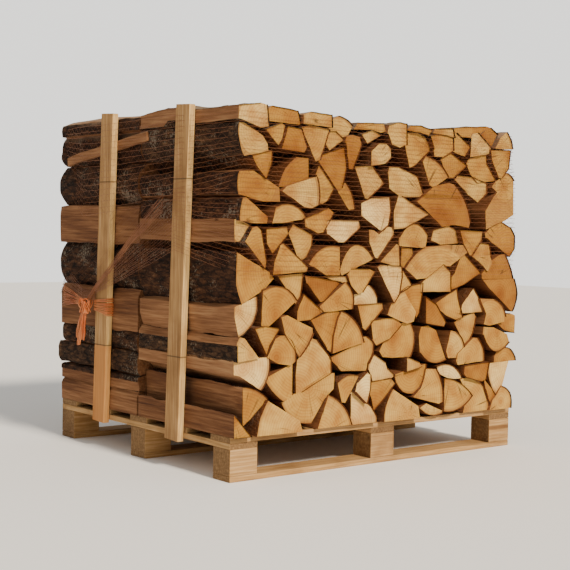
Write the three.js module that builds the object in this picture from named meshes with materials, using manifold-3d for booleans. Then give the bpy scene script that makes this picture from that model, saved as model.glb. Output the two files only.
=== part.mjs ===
// Firewood bundle: two rows of split logs on a pallet, held by end posts and orange netting.
// X runs along the pallet, the cut ends of the front row face -Y and Z is up.
// The origin is under the middle of the pallet.

import * as THREE from 'three';
import { mergeVertices } from 'three/addons/utils/BufferGeometryUtils.js';
import Module from 'manifold-3d';

const wasm = await Module();
wasm.setup();

// Clearance between pieces that touch.
const GAP = 0.3;

// Pallet: three bottom boards along X, nine blocks, three stringers along Y, five deck boards along X.
const PALLET = { length: 1200, depth: 1000, board: 18 };
const BLOCK = { length: 100, depth: 85, height: 78 };
const STRINGER_TOP = 2 * PALLET.board + BLOCK.height;
const DECK_TOP = STRINGER_TOP + PALLET.board;
const BLOCK_X = (PALLET.length - BLOCK.length) / 2;
const BLOCK_Y = (PALLET.depth - BLOCK.depth) / 2;
const DECK_WIDTH = 100;
const DECK_PITCH = (PALLET.depth - DECK_WIDTH) / 4;

// Posts: sawn boards nailed to the ends of the pallet, leaning a little out and towards -Y.
const POST = { thickness: 22, width: 72, bottom: 88, top: 1102, leanOut: 0.011, leanFront: 0.055 };
const POST_Y = { front: -224, back: 215 };

// Logs: one row's cut faces stand FACE from the middle, and each log is LOG_LENGTH long.
const FACE = 520;
const LOG_LENGTH = 510;
const STAGGER = 7;
const BARK = 9;
const SHARPEST = 1.6;
const ARC_STEP = 1.2;

// Logs that share more than CONTACT mm2 of end face lean on each other. One group of logs starts near each
// crossing of these levels and sections.
const CONTACT = 4;
const LEVELS = { bottom: 220, low: 410, middle: 600, high: 790, top: 980 };
const SECTIONS = { left: -400, centre: 0, right: 400 };

// Net.
const NET = { skin: 1.5, bottom: 596, top: 1072 };

const COLOURS = {
  pallet: 0xd2b084,
  post: 0xc9a46c,
  log: 0xcf9f5c,
  net: 0xc8642a,
};
const FINISH = { roughness: 0.85, metalness: 0 };

const bundle = new THREE.Group();

function addPiece(name, geometry, colour) {
  const piece = new THREE.Mesh(geometry, new THREE.MeshStandardMaterial({ color: colour, ...FINISH }));
  piece.name = name;
  bundle.add(piece);
  return piece;
}

// A box that stands on z = bottom, with its middle at (x, y).
function addBoard(name, [length, depth, height], [x, y, bottom], colour) {
  const board = addPiece(name, new THREE.BoxGeometry(length, depth, height), colour);
  board.position.set(x, y, bottom + height / 2);
  return board;
}

// three.js geometry to a manifold solid and back, for joins and cuts.
function toSolid(geometry) {
  const bare = geometry.index ? geometry.toNonIndexed() : geometry.clone();
  bare.deleteAttribute('normal');
  bare.deleteAttribute('uv');
  const merged = mergeVertices(bare, 1e-4);
  return new wasm.Manifold(new wasm.Mesh({
    numProp: 3,
    vertProperties: new Float32Array(merged.attributes.position.array),
    triVerts: new Uint32Array(merged.index.array),
  }));
}

function toGeometry(solid) {
  const mesh = solid.getMesh();
  const geometry = new THREE.BufferGeometry();
  geometry.setAttribute('position', new THREE.BufferAttribute(new Float32Array(mesh.vertProperties), 3));
  geometry.setIndex(new THREE.BufferAttribute(new Uint32Array(mesh.triVerts), 1));
  geometry.computeVertexNormals();
  return geometry;
}

function joinAll(solids) {
  return solids.reduce((whole, solid) => whole.add(solid));
}

// ---------------------------------------------------------------- pallet

const COLUMNS = [['left', -BLOCK_X], ['middle', 0], ['right', BLOCK_X]];
const ROWS = [['front', -BLOCK_Y], ['centre', 0], ['back', BLOCK_Y]];

for (const [row, y] of ROWS) {
  addBoard(`bottom_board_${row}`, [PALLET.length, BLOCK.depth, PALLET.board], [0, y, 0], COLOURS.pallet);
  for (const [column, x] of COLUMNS) {
    const size = [BLOCK.length, BLOCK.depth, BLOCK.height];
    addBoard(`block_${row}_${column}`, size, [x, y, PALLET.board], COLOURS.pallet);
  }
}

for (const [column, x] of COLUMNS) {
  const size = [BLOCK.length, PALLET.depth, PALLET.board];
  addBoard(`stringer_${column}`, size, [x, 0, PALLET.board + BLOCK.height], COLOURS.pallet);
}

for (let i = 0; i < 5; i += 1) {
  const y = -(PALLET.depth - DECK_WIDTH) / 2 + i * DECK_PITCH;
  const size = [PALLET.length, DECK_WIDTH, PALLET.board];
  addBoard(`deck_board_${i + 1}`, size, [0, y, STRINGER_TOP], COLOURS.pallet);
}

// ---------------------------------------------------------------- posts

// How far the inner face of a post stands from the middle at a height.
function postFace(z) {
  return PALLET.length / 2 + GAP + POST.leanOut * (z - POST.bottom);
}

for (const [side, sign] of [['left', -1], ['right', 1]]) {
  for (const [end, y] of Object.entries(POST_Y)) {
    const height = POST.top - POST.bottom;
    const middle = (POST.top + POST.bottom) / 2;
    const post = addPiece(
      `post_${side}_${end}`,
      new THREE.BoxGeometry(POST.thickness, POST.width, height),
      COLOURS.post,
    );
    post.position.set(
      sign * (postFace(middle) + POST.thickness / 2 + GAP),
      y - POST.leanFront * (middle - POST.bottom),
      middle,
    );
    post.rotation.set(POST.leanFront, sign * POST.leanOut, 0);
  }
}

// ---------------------------------------------------------------- logs

// Each log end is a list of corners [x, z] in the row's cut face. A third number is the bark's bulge:
// how far the round stretch to the next corner stands out from its chord.
// "edge" logs close the right end of the front row, and "far" logs close the back row there instead.
const COURSES = {
  bottom: {
    left: [
      [[-600, 133], [-600, 195], [-545, 133]],
      [[-566, 272, 8], [-486, 236], [-540, 188], [-564, 169]],
      [[-519, 133, 8], [-484, 229], [-368, 163], [-358, 133]],
      [[-418, 222], [-355, 250], [-252, 297], [-228, 296], [-229, 254], [-262, 226], [-308, 158, 22]],
      [[-282, 138], [-248, 228, 16], [-159, 138]],
    ],
    centre: [
      [[-209, 268, 12], [-136, 284], [-184, 211], [-192, 212]],
      [[-151, 138], [-148, 229], [-140, 236], [-70, 182], [-47, 150], [-47, 138]],
      [[-140, 240], [-134, 264], [-97, 292], [-86, 284], [-86, 245], [-97, 203]],
      [[-84, 260], [10, 266], [23, 253], [-15, 215], [-56, 177]],
      [[-82, 304], [-79, 320], [-62, 345], [-14, 318], [-6, 300], [27, 278], [15, 273], [-66, 270]],
      [[-16, 138, 12], [18, 231], [125, 171], [133, 138]],
      [[33, 278], [167, 304, 20], [114, 220, 20]],
      [[77, 292], [77, 331], [130, 312], [140, 303]],
    ],
    right: [
      [[118, 205], [150, 228], [166, 262], [172, 287], [208, 285, 10], [237, 183], [225, 179]],
      [[156, 164], [180, 173], [252, 147, 17]],
      [[254, 153, 17], [371, 193, 14], [253, 252]],
      [[356, 138], [470, 138, 25], [388, 249], [340, 246], [373, 195]],
      [[446, 241], [502, 187], [480, 163, 6]],
      [[347, 290], [345, 268], [355, 259], [432, 240], [447, 245], [460, 297]],
      [[228, 292, 24], [342, 252, 8], [236, 274]],
    ],
    edge: [
      [[474, 138], [573, 138, 22], [530, 208], [508, 183], [487, 165]],
      [[472, 291], [563, 294], [534, 212], [522, 190], [508, 190, 6], [468, 264]],
    ],
    far: [
      [[474, 134], [600, 134], [600, 186], [588, 201], [533, 206], [508, 184], [487, 165]],
      [[597, 213], [600, 238, 6], [586, 254], [500, 260], [478, 250], [484, 222], [503, 199], [530, 213]],
      [[586, 266, 14], [590, 330], [500, 337], [474, 320], [468, 268]],
    ],
  },
  low: {
    left: [
      [[-602, 351], [-484, 357, 12], [-510, 272], [-580, 314], [-598, 318]],
      [[-602, 356], [-602, 398], [-590, 419], [-577, 416], [-524, 361]],
      [[-486, 296], [-388, 332], [-389, 241], [-416, 231, 7]],
      [[-480, 362], [-455, 410], [-440, 418], [-425, 418, 14], [-389, 345], [-400, 337], [-445, 344]],
      [[-535, 444], [-498, 448], [-450, 441], [-484, 398], [-491, 371]],
      [[-371, 300], [-366, 345], [-312, 405], [-297, 400], [-244, 342], [-243, 303], [-350, 254],
        [-369, 251]],
      [[-437, 474], [-420, 478], [-324, 438], [-323, 428, 4], [-371, 363], [-424, 432]],
      [[-603, 506], [-577, 514], [-533, 534, 24], [-588, 429], [-599, 480]],
      [[-322, 464], [-250, 487], [-214, 492], [-208, 478], [-238, 398], [-245, 371], [-257, 379]],
    ],
    centre: [
      [[-236, 366], [-232, 412], [-214, 468], [-205, 482, 18], [-118, 391]],
      [[-240, 345], [-118, 387], [-112, 401], [-95, 402], [-67, 385], [-68, 358], [-92, 304],
        [-190, 308], [-204, 320]],
      [[-142, 503], [-40, 506], [-38, 494], [-80, 457], [-106, 433], [-118, 441]],
      [[-78, 452], [-30, 457], [30, 456], [47, 440], [0, 401], [-55, 383], [-70, 400]],
      [[-30, 358], [-15, 384], [48, 437], [88, 446, 19], [92, 338], [20, 339], [-18, 343]],
      [[-10, 476, 14], [55, 541], [103, 478], [95, 452], [70, 447], [40, 457]],
    ],
    right: [
      [[147, 425], [175, 428], [213, 412], [262, 322, 22], [146, 350], [140, 400]],
      [[282, 408], [300, 404, 8], [336, 355], [306, 326], [272, 326], [264, 345]],
      [[308, 312], [313, 332], [385, 381], [399, 380, 12], [432, 308], [314, 302]],
      [[302, 437], [325, 452], [392, 464], [398, 455], [386, 405], [360, 364], [352, 366]],
      [[152, 524], [197, 499], [243, 441], [238, 433], [155, 446]],
      [[198, 500], [298, 546], [304, 515], [326, 458], [300, 452], [255, 468]],
    ],
    edge: [
      [[503, 300], [503, 314], [512, 328, 30], [597, 299]],
      [[436, 416], [480, 413], [545, 388], [553, 370, 45], [433, 398]],
      [[512, 430], [545, 457], [575, 458], [598, 451], [602, 440], [601, 398], [548, 409]],
    ],
    far: [
      [[590, 343, 12], [590, 396], [560, 402], [470, 418], [442, 416], [438, 380], [452, 345], [480, 342]],
      [[602, 403], [604, 500], [590, 532], [542, 528], [540, 438], [528, 416], [560, 408]],
    ],
  },
  middle: {
    left: [
      [[-507, 457], [-504, 552, 26], [-390, 523], [-437, 490], [-485, 455]],
      [[-377, 467], [-376, 492], [-354, 538], [-284, 490], [-325, 471]],
      [[-448, 596], [-358, 601], [-366, 538], [-380, 518], [-420, 568]],
      [[-474, 606], [-470, 640], [-452, 682], [-440, 688], [-350, 622], [-352, 614]],
      [[-577, 522, 12], [-604, 664], [-482, 605], [-468, 591], [-500, 562]],
      [[-570, 697], [-548, 732], [-532, 737], [-520, 728], [-500, 640], [-502, 624]],
      [[-501, 731], [-430, 738], [-427, 722], [-478, 668], [-497, 694]],
      [[-605, 756], [-588, 755], [-560, 743], [-590, 702], [-601, 700]],
      [[-287, 504], [-195, 571, 14], [-170, 498], [-284, 491]],
      [[-345, 595], [-212, 577], [-275, 525], [-287, 522], [-340, 578]],
      [[-275, 595], [-180, 591], [-176, 579], [-215, 581]],
      [[-338, 633, 22], [-224, 681], [-221, 603], [-270, 603], [-315, 627]],
      [[-411, 724], [-396, 746], [-326, 717], [-327, 690], [-345, 655], [-358, 648], [-375, 658]],
    ],
    centre: [
      [[-213, 612, 62], [-78, 647], [-205, 603]],
      [[-180, 598], [-165, 614], [-95, 613], [-78, 607], [-124, 549], [-140, 545], [-168, 570]],
      [[-161, 508], [-160, 525], [-98, 563], [-85, 561, 4], [-56, 525], [-55, 512], [-130, 504]],
      [[-56, 619], [-45, 626], [36, 621], [37, 590], [26, 540], [8, 515]],
      [[43, 612], [56, 606], [88, 566], [46, 544]],
      [[57, 545], [80, 557], [140, 566], [137, 535], [124, 475], [116, 463], [66, 534]],
      [[-48, 641], [15, 693], [23, 688], [27, 632], [0, 632]],
      [[50, 681], [95, 678], [98, 665], [68, 626], [52, 624]],
      [[70, 618, 8], [150, 682], [250, 691], [325, 691], [340, 675], [262, 630], [235, 630],
        [165, 592], [115, 588]],
      [[141, 547], [140, 570], [232, 626], [262, 604], [267, 546]],
    ],
    right: [
      [[326, 471], [334, 495], [388, 545], [416, 511], [438, 474]],
      [[418, 512], [475, 509, 13], [530, 450], [530, 440], [460, 428], [438, 433], [447, 466]],
      [[270, 549], [268, 574], [296, 600], [325, 657], [338, 661], [412, 604], [335, 568]],
      [[370, 661], [402, 699], [449, 695], [459, 652], [468, 638], [458, 620], [446, 611], [425, 630]],
      [[303, 742], [411, 738], [408, 716], [365, 665], [352, 667], [322, 702]],
      [[183, 712], [190, 737], [262, 753], [296, 741], [312, 704], [225, 699]],
    ],
    edge: [
      [[430, 577], [572, 578, 18], [566, 475], [450, 560]],
      [[428, 585], [427, 598], [472, 640], [512, 659], [532, 661, 4], [572, 585]],
      [[443, 735], [465, 752], [515, 770], [560, 752], [578, 728], [577, 685], [556, 662],
        [490, 699], [447, 722]],
    ],
    far: [
      [[572, 537], [500, 524], [432, 575], [430, 600], [470, 648], [540, 678], [572, 678, 31]],
      [[600, 684], [605, 760], [600, 799], [575, 803], [520, 770], [447, 738], [451, 722],
        [492, 697], [548, 682]],
    ],
  },
  high: {
    left: [
      [[-597, 761], [-588, 817], [-578, 819], [-503, 768], [-505, 755], [-550, 755]],
      [[-594, 836], [-594, 893], [-545, 897], [-452, 853], [-448, 819], [-505, 818]],
      [[-475, 755], [-463, 794, 24], [-351, 769], [-440, 757]],
      [[-437, 847], [-425, 857], [-345, 881], [-318, 888, 6], [-309, 812], [-330, 803], [-355, 806]],
      [[-446, 861, 12], [-385, 944], [-345, 943], [-343, 886], [-400, 866]],
      [[-355, 766], [-270, 797], [-254, 787], [-290, 732], [-308, 729], [-352, 746]],
      [[-308, 900], [-300, 922], [-246, 862], [-268, 826], [-283, 818], [-298, 820]],
      [[-550, 941], [-486, 958], [-487, 925], [-502, 884], [-533, 915]],
    ],
    centre: [
      [[-272, 742], [-268, 761], [-145, 761], [-142, 747], [-203, 703], [-228, 703], [-268, 726]],
      [[-215, 852], [-208, 868], [-192, 875, 8], [-159, 804], [-172, 802]],
      [[-100, 735], [-80, 733], [-60, 722], [-24, 746], [0, 742], [0, 728], [-62, 655], [-73, 658],
        [-97, 700]],
      [[-126, 785], [-126, 818], [-90, 833], [-18, 839], [-13, 800], [-22, 758], [-42, 740], [-58, 746]],
      [[-158, 928], [-88, 934], [-38, 886], [-100, 838], [-112, 841]],
      [[4, 747], [4, 800], [20, 844], [34, 843], [100, 812], [152, 793], [45, 750]],
      [[-12, 915], [-6, 934], [30, 934], [108, 910], [141, 851], [38, 849], [-6, 872]],
      [[38, 694], [38, 712, 42], [153, 722], [147, 688]],
    ],
    right: [
      [[107, 832], [180, 880], [250, 893], [270, 889, 14], [355, 770], [352, 758], [285, 765],
        [225, 758], [175, 790]],
      [[295, 908], [305, 920], [370, 917], [432, 900], [434, 872], [398, 842], [350, 867]],
      [[133, 960], [142, 973, 12], [233, 915], [175, 884], [162, 890]],
    ],
    edge: [
      [[444, 754], [440, 810], [478, 857], [497, 876], [470, 893], [485, 908], [536, 937, 4],
        [567, 915], [571, 803], [515, 777]],
    ],
    far: [
      [[574, 812], [520, 780], [450, 750], [444, 812], [478, 860], [500, 880], [560, 936], [576, 934, 30]],
    ],
  },
  top: {
    left: [
      [[-600, 1032], [-583, 1031], [-515, 999], [-498, 978], [-495, 961], [-580, 946], [-597, 985]],
      [[-604, 1048], [-603, 1080], [-530, 1091], [-512, 1088], [-505, 1034], [-530, 1028]],
      [[-497, 1021], [-445, 1041], [-434, 1034], [-442, 1005], [-456, 983]],
      [[-428, 1031], [-380, 1027], [-359, 978], [-367, 966], [-446, 972], [-436, 1000]],
      [[-372, 1033], [-340, 1041], [-273, 1033], [-307, 948], [-320, 942]],
      [[-501, 1050], [-499, 1076], [-480, 1087], [-385, 1080], [-374, 1048], [-430, 1049]],
      [[-366, 1050], [-366, 1071], [-345, 1079], [-268, 1076], [-266, 1046], [-300, 1048]],
      [[-279, 1000], [-270, 1027], [-238, 1029], [-209, 1011], [-262, 979]],
      [[-300, 938], [-296, 955], [-204, 984], [-199, 925], [-216, 866], [-228, 857]],
    ],
    centre: [
      [[-201, 1000], [-196, 1016], [-175, 1022], [-150, 1018], [-144, 1000], [-176, 926], [-188, 926]],
      [[-260, 1038], [-255, 1060], [-225, 1076, 6], [-172, 1052], [-186, 1030], [-206, 1022], [-236, 1036]],
      [[-99, 940], [-99, 978], [-65, 1004], [-35, 1004], [-18, 990], [-18, 968], [-40, 950]],
      [[-132, 1030], [-113, 1008], [-58, 1034], [-90, 1042]],
      [[-166, 1046], [-150, 1062], [-40, 1067], [-34, 1050], [-55, 1045], [-95, 1052]],
      [[-26, 1040], [-20, 1064], [10, 1074], [44, 1072], [44, 1012], [20, 1003], [-12, 1010]],
      [[52, 1018], [53, 1037], [68, 1046], [110, 1047], [145, 1037], [170, 1004], [95, 949], [78, 943]],
      [[58, 1056], [75, 1068], [110, 1071], [165, 1062], [150, 1049], [110, 1056]],
    ],
    right: [
      [[213, 968], [228, 985], [248, 994], [326, 958], [268, 919], [240, 919]],
      [[342, 960], [352, 977], [432, 999], [434, 968], [484, 917], [395, 907], [360, 932]],
      [[160, 1042], [185, 1048], [225, 1046], [254, 1040], [256, 1006], [215, 984], [182, 984],
        [178, 1003]],
      [[264, 1006], [266, 1036], [270, 1055], [286, 1058], [347, 1020], [325, 992], [290, 998]],
      [[352, 990], [358, 1048], [370, 1063], [387, 1065], [447, 1022], [444, 1008]],
      [[175, 1056], [182, 1066], [255, 1070], [262, 1048], [225, 1053]],
      [[272, 1064], [290, 1077], [430, 1090], [445, 1090], [424, 1083], [401, 1069], [368, 1070],
        [355, 1056], [306, 1055], [288, 1064]],
    ],
    edge: [
      [[450, 1012], [454, 985], [486, 928], [502, 929], [530, 960], [540, 1016]],
      [[476, 1025], [500, 1057], [528, 1075, 6], [554, 1027]],
      [[403, 1062], [425, 1076], [450, 1086], [479, 1070], [460, 1036], [448, 1034]],
    ],
    far: [
      [[574, 946, 12], [592, 992, 6], [578, 1036], [455, 1014], [458, 985], [492, 928], [560, 945]],
      [[600, 1046], [599, 1078], [570, 1090], [520, 1076], [482, 1060], [478, 1028], [520, 1032]],
      [[403, 1062], [425, 1076], [450, 1086], [474, 1070], [460, 1036], [448, 1034]],
    ],
  },
};

// The log's end as points, with each bulge as an arc, run counter-clockwise.
function logOutline(corners) {
  const flat = corners.map(([x, z]) => new THREE.Vector2(x, z));
  const turn = Math.sign(THREE.ShapeUtils.area(flat)) || -1;
  const points = [];
  flat.forEach((start, i) => {
    points.push(start);
    const bulge = corners[i][2];
    if (!bulge) return;
    const end = flat[(i + 1) % flat.length];
    const along = end.clone().sub(start);
    const half = along.length() / 2;
    along.normalize();
    const outward = new THREE.Vector2(along.y, -along.x).multiplyScalar(turn);
    const radius = (half * half + bulge * bulge) / (2 * bulge);
    const reach = 2 * Math.atan2(bulge, half);
    const centre = start.clone().add(end).multiplyScalar(0.5).addScaledVector(outward, bulge - radius);
    const steps = Math.max(2, Math.round((2 * reach) / ARC_STEP));
    for (let k = 1; k < steps; k += 1) {
      const angle = reach * ((2 * k) / steps - 1);
      const point = centre.clone().addScaledVector(outward, radius * Math.cos(angle));
      points.push(point.addScaledVector(along, radius * Math.sin(angle)));
    }
  });
  return turn > 0 ? points : points.reverse();
}

// The outline moved outwards, kept on the deck and inside the posts.
function swollen(points, margin) {
  return points.map((point, i) => {
    const before = points.at(i - 1);
    const after = points[(i + 1) % points.length];
    const arriving = point.clone().sub(before).normalize();
    const leaving = after.clone().sub(point).normalize();
    const outward = new THREE.Vector2(arriving.y + leaving.y, -arriving.x - leaving.x);
    const half = outward.length() / 2;
    const moved = point.clone().addScaledVector(outward.normalize(), margin * Math.min(1 / half, SHARPEST));
    const limit = postFace(moved.y) - 2 * GAP;
    moved.x = THREE.MathUtils.clamp(moved.x, -limit, limit);
    moved.y = Math.max(moved.y, DECK_TOP + GAP);
    return moved;
  });
}

// One log, its bark swollen by margin. No two neighbouring ends are level.
function logSolid(corners, index, margin) {
  const shift = STAGGER * Math.sin(2.4 * index);
  const shape = new THREE.Shape(swollen(logOutline(corners), margin));
  const geometry = new THREE.ExtrudeGeometry(shape, { depth: LOG_LENGTH, bevelEnabled: false });
  geometry.rotateX(Math.PI / 2);
  geometry.translate(0, shift - FACE + LOG_LENGTH, 0);
  return toSolid(geometry);
}

// The largest body of a solid: what a cut leaves behind as a crumb is dropped.
function mainBody(solid) {
  const bodies = solid.decompose();
  return bodies.reduce((best, body) => (body.volume() > best.volume() ? body : best));
}

// Every log of a row, from the bottom course to the top one.
function rowLogs(closing) {
  return Object.values(COURSES).flatMap((course) => [
    ...course.left, ...course.centre, ...course.right, ...course[closing],
  ]);
}

// A row's logs shared out: each group spreads from its seed log to the free logs that lean on it.
function shareOut(logs, solids) {
  const middles = logs.map((corners) => {
    const sum = corners.reduce((total, [x, z]) => total.add(new THREE.Vector2(x, z)), new THREE.Vector2());
    return sum.divideScalar(corners.length);
  });
  const leans = (a, b) => solids[a].intersect(solids[b]).volume() > CONTACT * LOG_LENGTH;
  const owner = new Array(logs.length).fill(null);
  const names = [];
  for (const [level, z] of Object.entries(LEVELS)) {
    for (const [column, x] of Object.entries(SECTIONS)) {
      const aim = new THREE.Vector2(x, z);
      const order = middles.map((middle, i) => i).sort((a, b) => (
        middles[a].distanceTo(aim) - middles[b].distanceTo(aim)
      ));
      const seed = order.find((i) => owner[i] === null);
      owner[seed] = names.length;
      names.push(`${level}_${column}`);
    }
  }
  let front = owner.map((group, i) => i).filter((i) => owner[i] !== null);
  while (front.length > 0) {
    const next = [];
    for (const i of front) {
      for (let k = 0; k < logs.length; k += 1) {
        if (owner[k] === null && leans(i, k)) {
          owner[k] = owner[i];
          next.push(k);
        }
      }
    }
    front = next;
  }
  return names.map((name, group) => [name, owner.flatMap((value, i) => (value === group ? [i] : []))]);
}

// Each group is one body, trimmed back from the groups before it.
function logGroups(closing) {
  const logs = rowLogs(closing);
  const solids = logs.map((corners, i) => logSolid(corners, i, BARK));
  const clearances = logs.map((corners, i) => logSolid(corners, i, BARK + GAP));
  let taken = null;
  return shareOut(logs, solids).map(([name, members]) => {
    const joined = joinAll(members.map((i) => solids[i]));
    const group = taken ? joined.subtract(taken) : joined;
    const clear = joinAll(members.map((i) => clearances[i]));
    taken = taken ? taken.add(clear) : clear;
    return [name, mainBody(group)];
  });
}

for (const [name, solid] of logGroups('edge')) {
  addPiece(`logs_front_${name}`, toGeometry(solid), COLOURS.log);
}

for (const [name, solid] of logGroups('far')) {
  const group = addPiece(`logs_back_${name}`, toGeometry(solid), COLOURS.log);
  group.rotation.z = Math.PI;
}

// ---------------------------------------------------------------- net

// A flat sheet seen from -X: its outline is a list of [y, z], and it fills x = left to left + thickness.
function sideSheet(points, left, thickness) {
  const shape = new THREE.Shape(points.map(([y, z]) => new THREE.Vector2(y, z)));
  const geometry = new THREE.ExtrudeGeometry(shape, { depth: thickness, bevelEnabled: false });
  geometry.rotateX(Math.PI / 2);
  geometry.rotateZ(Math.PI / 2);
  geometry.translate(left, 0, 0);
  return geometry;
}

// The wrap is pulled straight from the corners of the load to the posts. One quarter of its outline:
const WRAP_CORNERS = [[613, -529], [637, -314], [637, 226], [613, 529]];
// Its lower edge on the left end climbs from the front corner to the back one.
const WRAP_EDGE = [[-545, 570], [-545, 596], [-300, 665], [-50, 800], [545, 800], [545, 570]];

function wrapOutline(inset) {
  const right = WRAP_CORNERS.map(([x, y]) => new THREE.Vector2(x - inset, y - Math.sign(y) * inset));
  const left = right.map((point) => new THREE.Vector2(-point.x, point.y)).reverse();
  return [...right, ...left];
}

function netWrap() {
  const shape = new THREE.Shape(wrapOutline(0));
  shape.holes.push(new THREE.Path(wrapOutline(NET.skin)));
  const height = NET.top - NET.bottom;
  const band = new THREE.ExtrudeGeometry(shape, { depth: height, bevelEnabled: false });
  band.translate(0, 0, NET.bottom);
  return toGeometry(toSolid(band).subtract(toSolid(sideSheet(WRAP_EDGE, -650, 42))));
}

addPiece('net_wrap', netWrap(), COLOURS.net);

// The lower edge is gathered into a strand that runs down to the back post.
const GATHER = [
  [-185, 668], [-40, 625], [60, 580], [150, 548], [215, 515],
  [215, 545], [150, 585], [60, 655], [-40, 735], [-185, 850],
];
addPiece('net_gather', sideSheet(GATHER, -642, 4), COLOURS.net);

// A loop holds it on the outer side of the post.
const LOOP = { skin: 4, height: 55, z: 472 };

function netLoop() {
  const post = bundle.getObjectByName('post_left_back');
  post.updateMatrix();
  const along = (LOOP.z - post.position.z) / Math.cos(POST.leanFront);
  const { thickness, width } = POST;
  const outer = new THREE.BoxGeometry(thickness + LOOP.skin, width + 2 * LOOP.skin, LOOP.height);
  outer.translate(-LOOP.skin / 2 - 2 * GAP, 0, along);
  const hole = new THREE.BoxGeometry(thickness + 4 * GAP, width + 2 * GAP, 2 * LOOP.height);
  hole.translate(GAP, 0, along);
  const loop = toSolid(outer).subtract(toSolid(hole));
  return toGeometry(loop).applyMatrix4(post.matrix);
}

addPiece('net_loop', netLoop(), COLOURS.net);

const knot = new THREE.SphereGeometry(1, 14, 10);
knot.scale(19, 29, 30);
knot.translate(-645, 268, 470);
addPiece('net_knot', toGeometry(toSolid(knot)), COLOURS.net);

// From the knot the net fans out to the corner of the load, and its two ends hang down.
const FAN = [[300, 468], [500, 455], [500, 540], [300, 500]];
addPiece('net_fan', sideSheet(FAN, -622, 3), COLOURS.net);

const TAILS = [[262, 438], [258, 400], [275, 340], [300, 322], [318, 326], [325, 380], [296, 438]];
addPiece('net_tails', sideSheet(TAILS, -647, 3), COLOURS.net);

export default bundle;
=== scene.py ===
# %% [markdown]
# # Firewood bundle
# Two rows of split logs lie on a flat pallet. Upright boards stand against both ends and orange netting is
# wrapped round the upper part and tied to one board. Everything here is modelled in metres, in the same
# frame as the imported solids: X along the pallet, the front row's cut ends towards -Y, Z up.

# %% Load the frame
import math

import bmesh
import bpy
from mathutils import Matrix, Vector, noise
from mathutils.bvhtree import BVHTree


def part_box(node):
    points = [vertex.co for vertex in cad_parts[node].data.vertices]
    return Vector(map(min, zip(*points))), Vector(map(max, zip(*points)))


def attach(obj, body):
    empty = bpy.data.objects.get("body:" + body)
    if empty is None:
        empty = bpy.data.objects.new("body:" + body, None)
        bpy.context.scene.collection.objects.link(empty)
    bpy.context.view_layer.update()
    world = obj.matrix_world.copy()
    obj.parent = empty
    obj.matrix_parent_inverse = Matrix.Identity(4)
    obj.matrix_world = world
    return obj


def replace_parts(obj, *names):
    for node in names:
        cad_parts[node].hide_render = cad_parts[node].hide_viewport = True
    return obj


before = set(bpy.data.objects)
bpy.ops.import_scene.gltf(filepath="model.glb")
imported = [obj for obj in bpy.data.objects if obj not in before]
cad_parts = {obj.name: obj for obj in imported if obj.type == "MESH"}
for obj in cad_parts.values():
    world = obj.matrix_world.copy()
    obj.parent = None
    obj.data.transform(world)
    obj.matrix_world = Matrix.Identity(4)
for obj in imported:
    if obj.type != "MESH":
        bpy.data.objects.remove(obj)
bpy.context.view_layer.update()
MM = 0.001
noise.seed_set(1)           # without a seed, noise_vector starts somewhere else on each run
print("solid nodes:", len(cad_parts))

# %% [markdown]
# ## Camera
# The load is seen from 0.7 m up, off the front left corner, with a long lens so that the stack's upright
# lines stay nearly parallel. The camera is turned by three angles, worked out as its right, up and
# forward directions, because a matrix made of those has no order of turns to get wrong.

# %% Camera
AZIMUTH, PITCH, ROLL = (math.radians(degrees) for degrees in (38.667, -2.444, 1.052))
CAMERA_PLACE = Vector((-2.6892, -3.3549, 0.7205))
LENS, SENSOR = 78.04, 36.0
SHIFT_X, SHIFT_Y = -0.0018, 0.0034


def camera_axes(azimuth, pitch, roll):
    """Right, up and forward of a camera that looks along azimuth from +Y towards +X."""
    flat = math.cos(pitch)
    forward = Vector((math.sin(azimuth) * flat, math.cos(azimuth) * flat, math.sin(pitch)))
    level = Vector((math.cos(azimuth), -math.sin(azimuth), 0))
    upward = level.cross(forward)
    right = level * math.cos(roll) + upward * math.sin(roll)
    return right, upward * math.cos(roll) - level * math.sin(roll), forward


right, upward, forward = camera_axes(AZIMUTH, PITCH, ROLL)
camera = bpy.data.objects.new("camera", bpy.data.cameras.new("camera"))
camera.data.lens = LENS
camera.data.sensor_width = SENSOR
camera.data.shift_x = SHIFT_X
camera.data.shift_y = SHIFT_Y
turn = Matrix((right, upward, -forward)).transposed().to_4x4()
camera.matrix_world = Matrix.Translation(CAMERA_PLACE) @ turn
bpy.context.collection.objects.link(camera)
bpy.context.scene.camera = camera
print("camera at", tuple(round(v, 3) for v in CAMERA_PLACE))

# %% [markdown]
# ## Colours and nodes
# Every material below is a tree of nodes. One helper turns a hex colour to the linear values that Blender
# works in, and one adds a node. Sockets go by number where a node has several of one name: a map range has
# its value at 0, the range it comes from at 1 and 2 and the one it goes to at 3 and 4. A colour mix has its
# factor at 0, its two colours at 6 and 7, and its result at output 2.

# %% Colours and nodes


def colour(code):
    """An sRGB hex colour as linear RGBA."""
    parts = [int(code[i:i + 2], 16) / 255 for i in (1, 3, 5)]
    return [c / 12.92 if c <= 0.04045 else ((c + 0.055) / 1.055) ** 2.4 for c in parts] + [1.0]


def add(tree, kind, links=None, **settings):
    """A node of Blender's type ShaderNode + kind, with its settings as names and values.

    In links, each socket of the node gets another node's output or a plain value.
    """
    made = tree.nodes.new("ShaderNode" + kind)
    for name, value in settings.items():
        setattr(made, name, value)
    for socket, value in (links or {}).items():
        if isinstance(value, bpy.types.Node):
            value = value.outputs[0]
        if isinstance(value, bpy.types.NodeSocket):
            tree.links.new(value, made.inputs[socket])
        else:
            made.inputs[socket].default_value = value
    return made


def new_material(name):
    """A named material, its node tree and its principled shader."""
    made = bpy.data.materials.new(name)
    made.use_nodes = True
    return made, made.node_tree, made.node_tree.nodes["Principled BSDF"]


# %% Layers and surfaces


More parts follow.
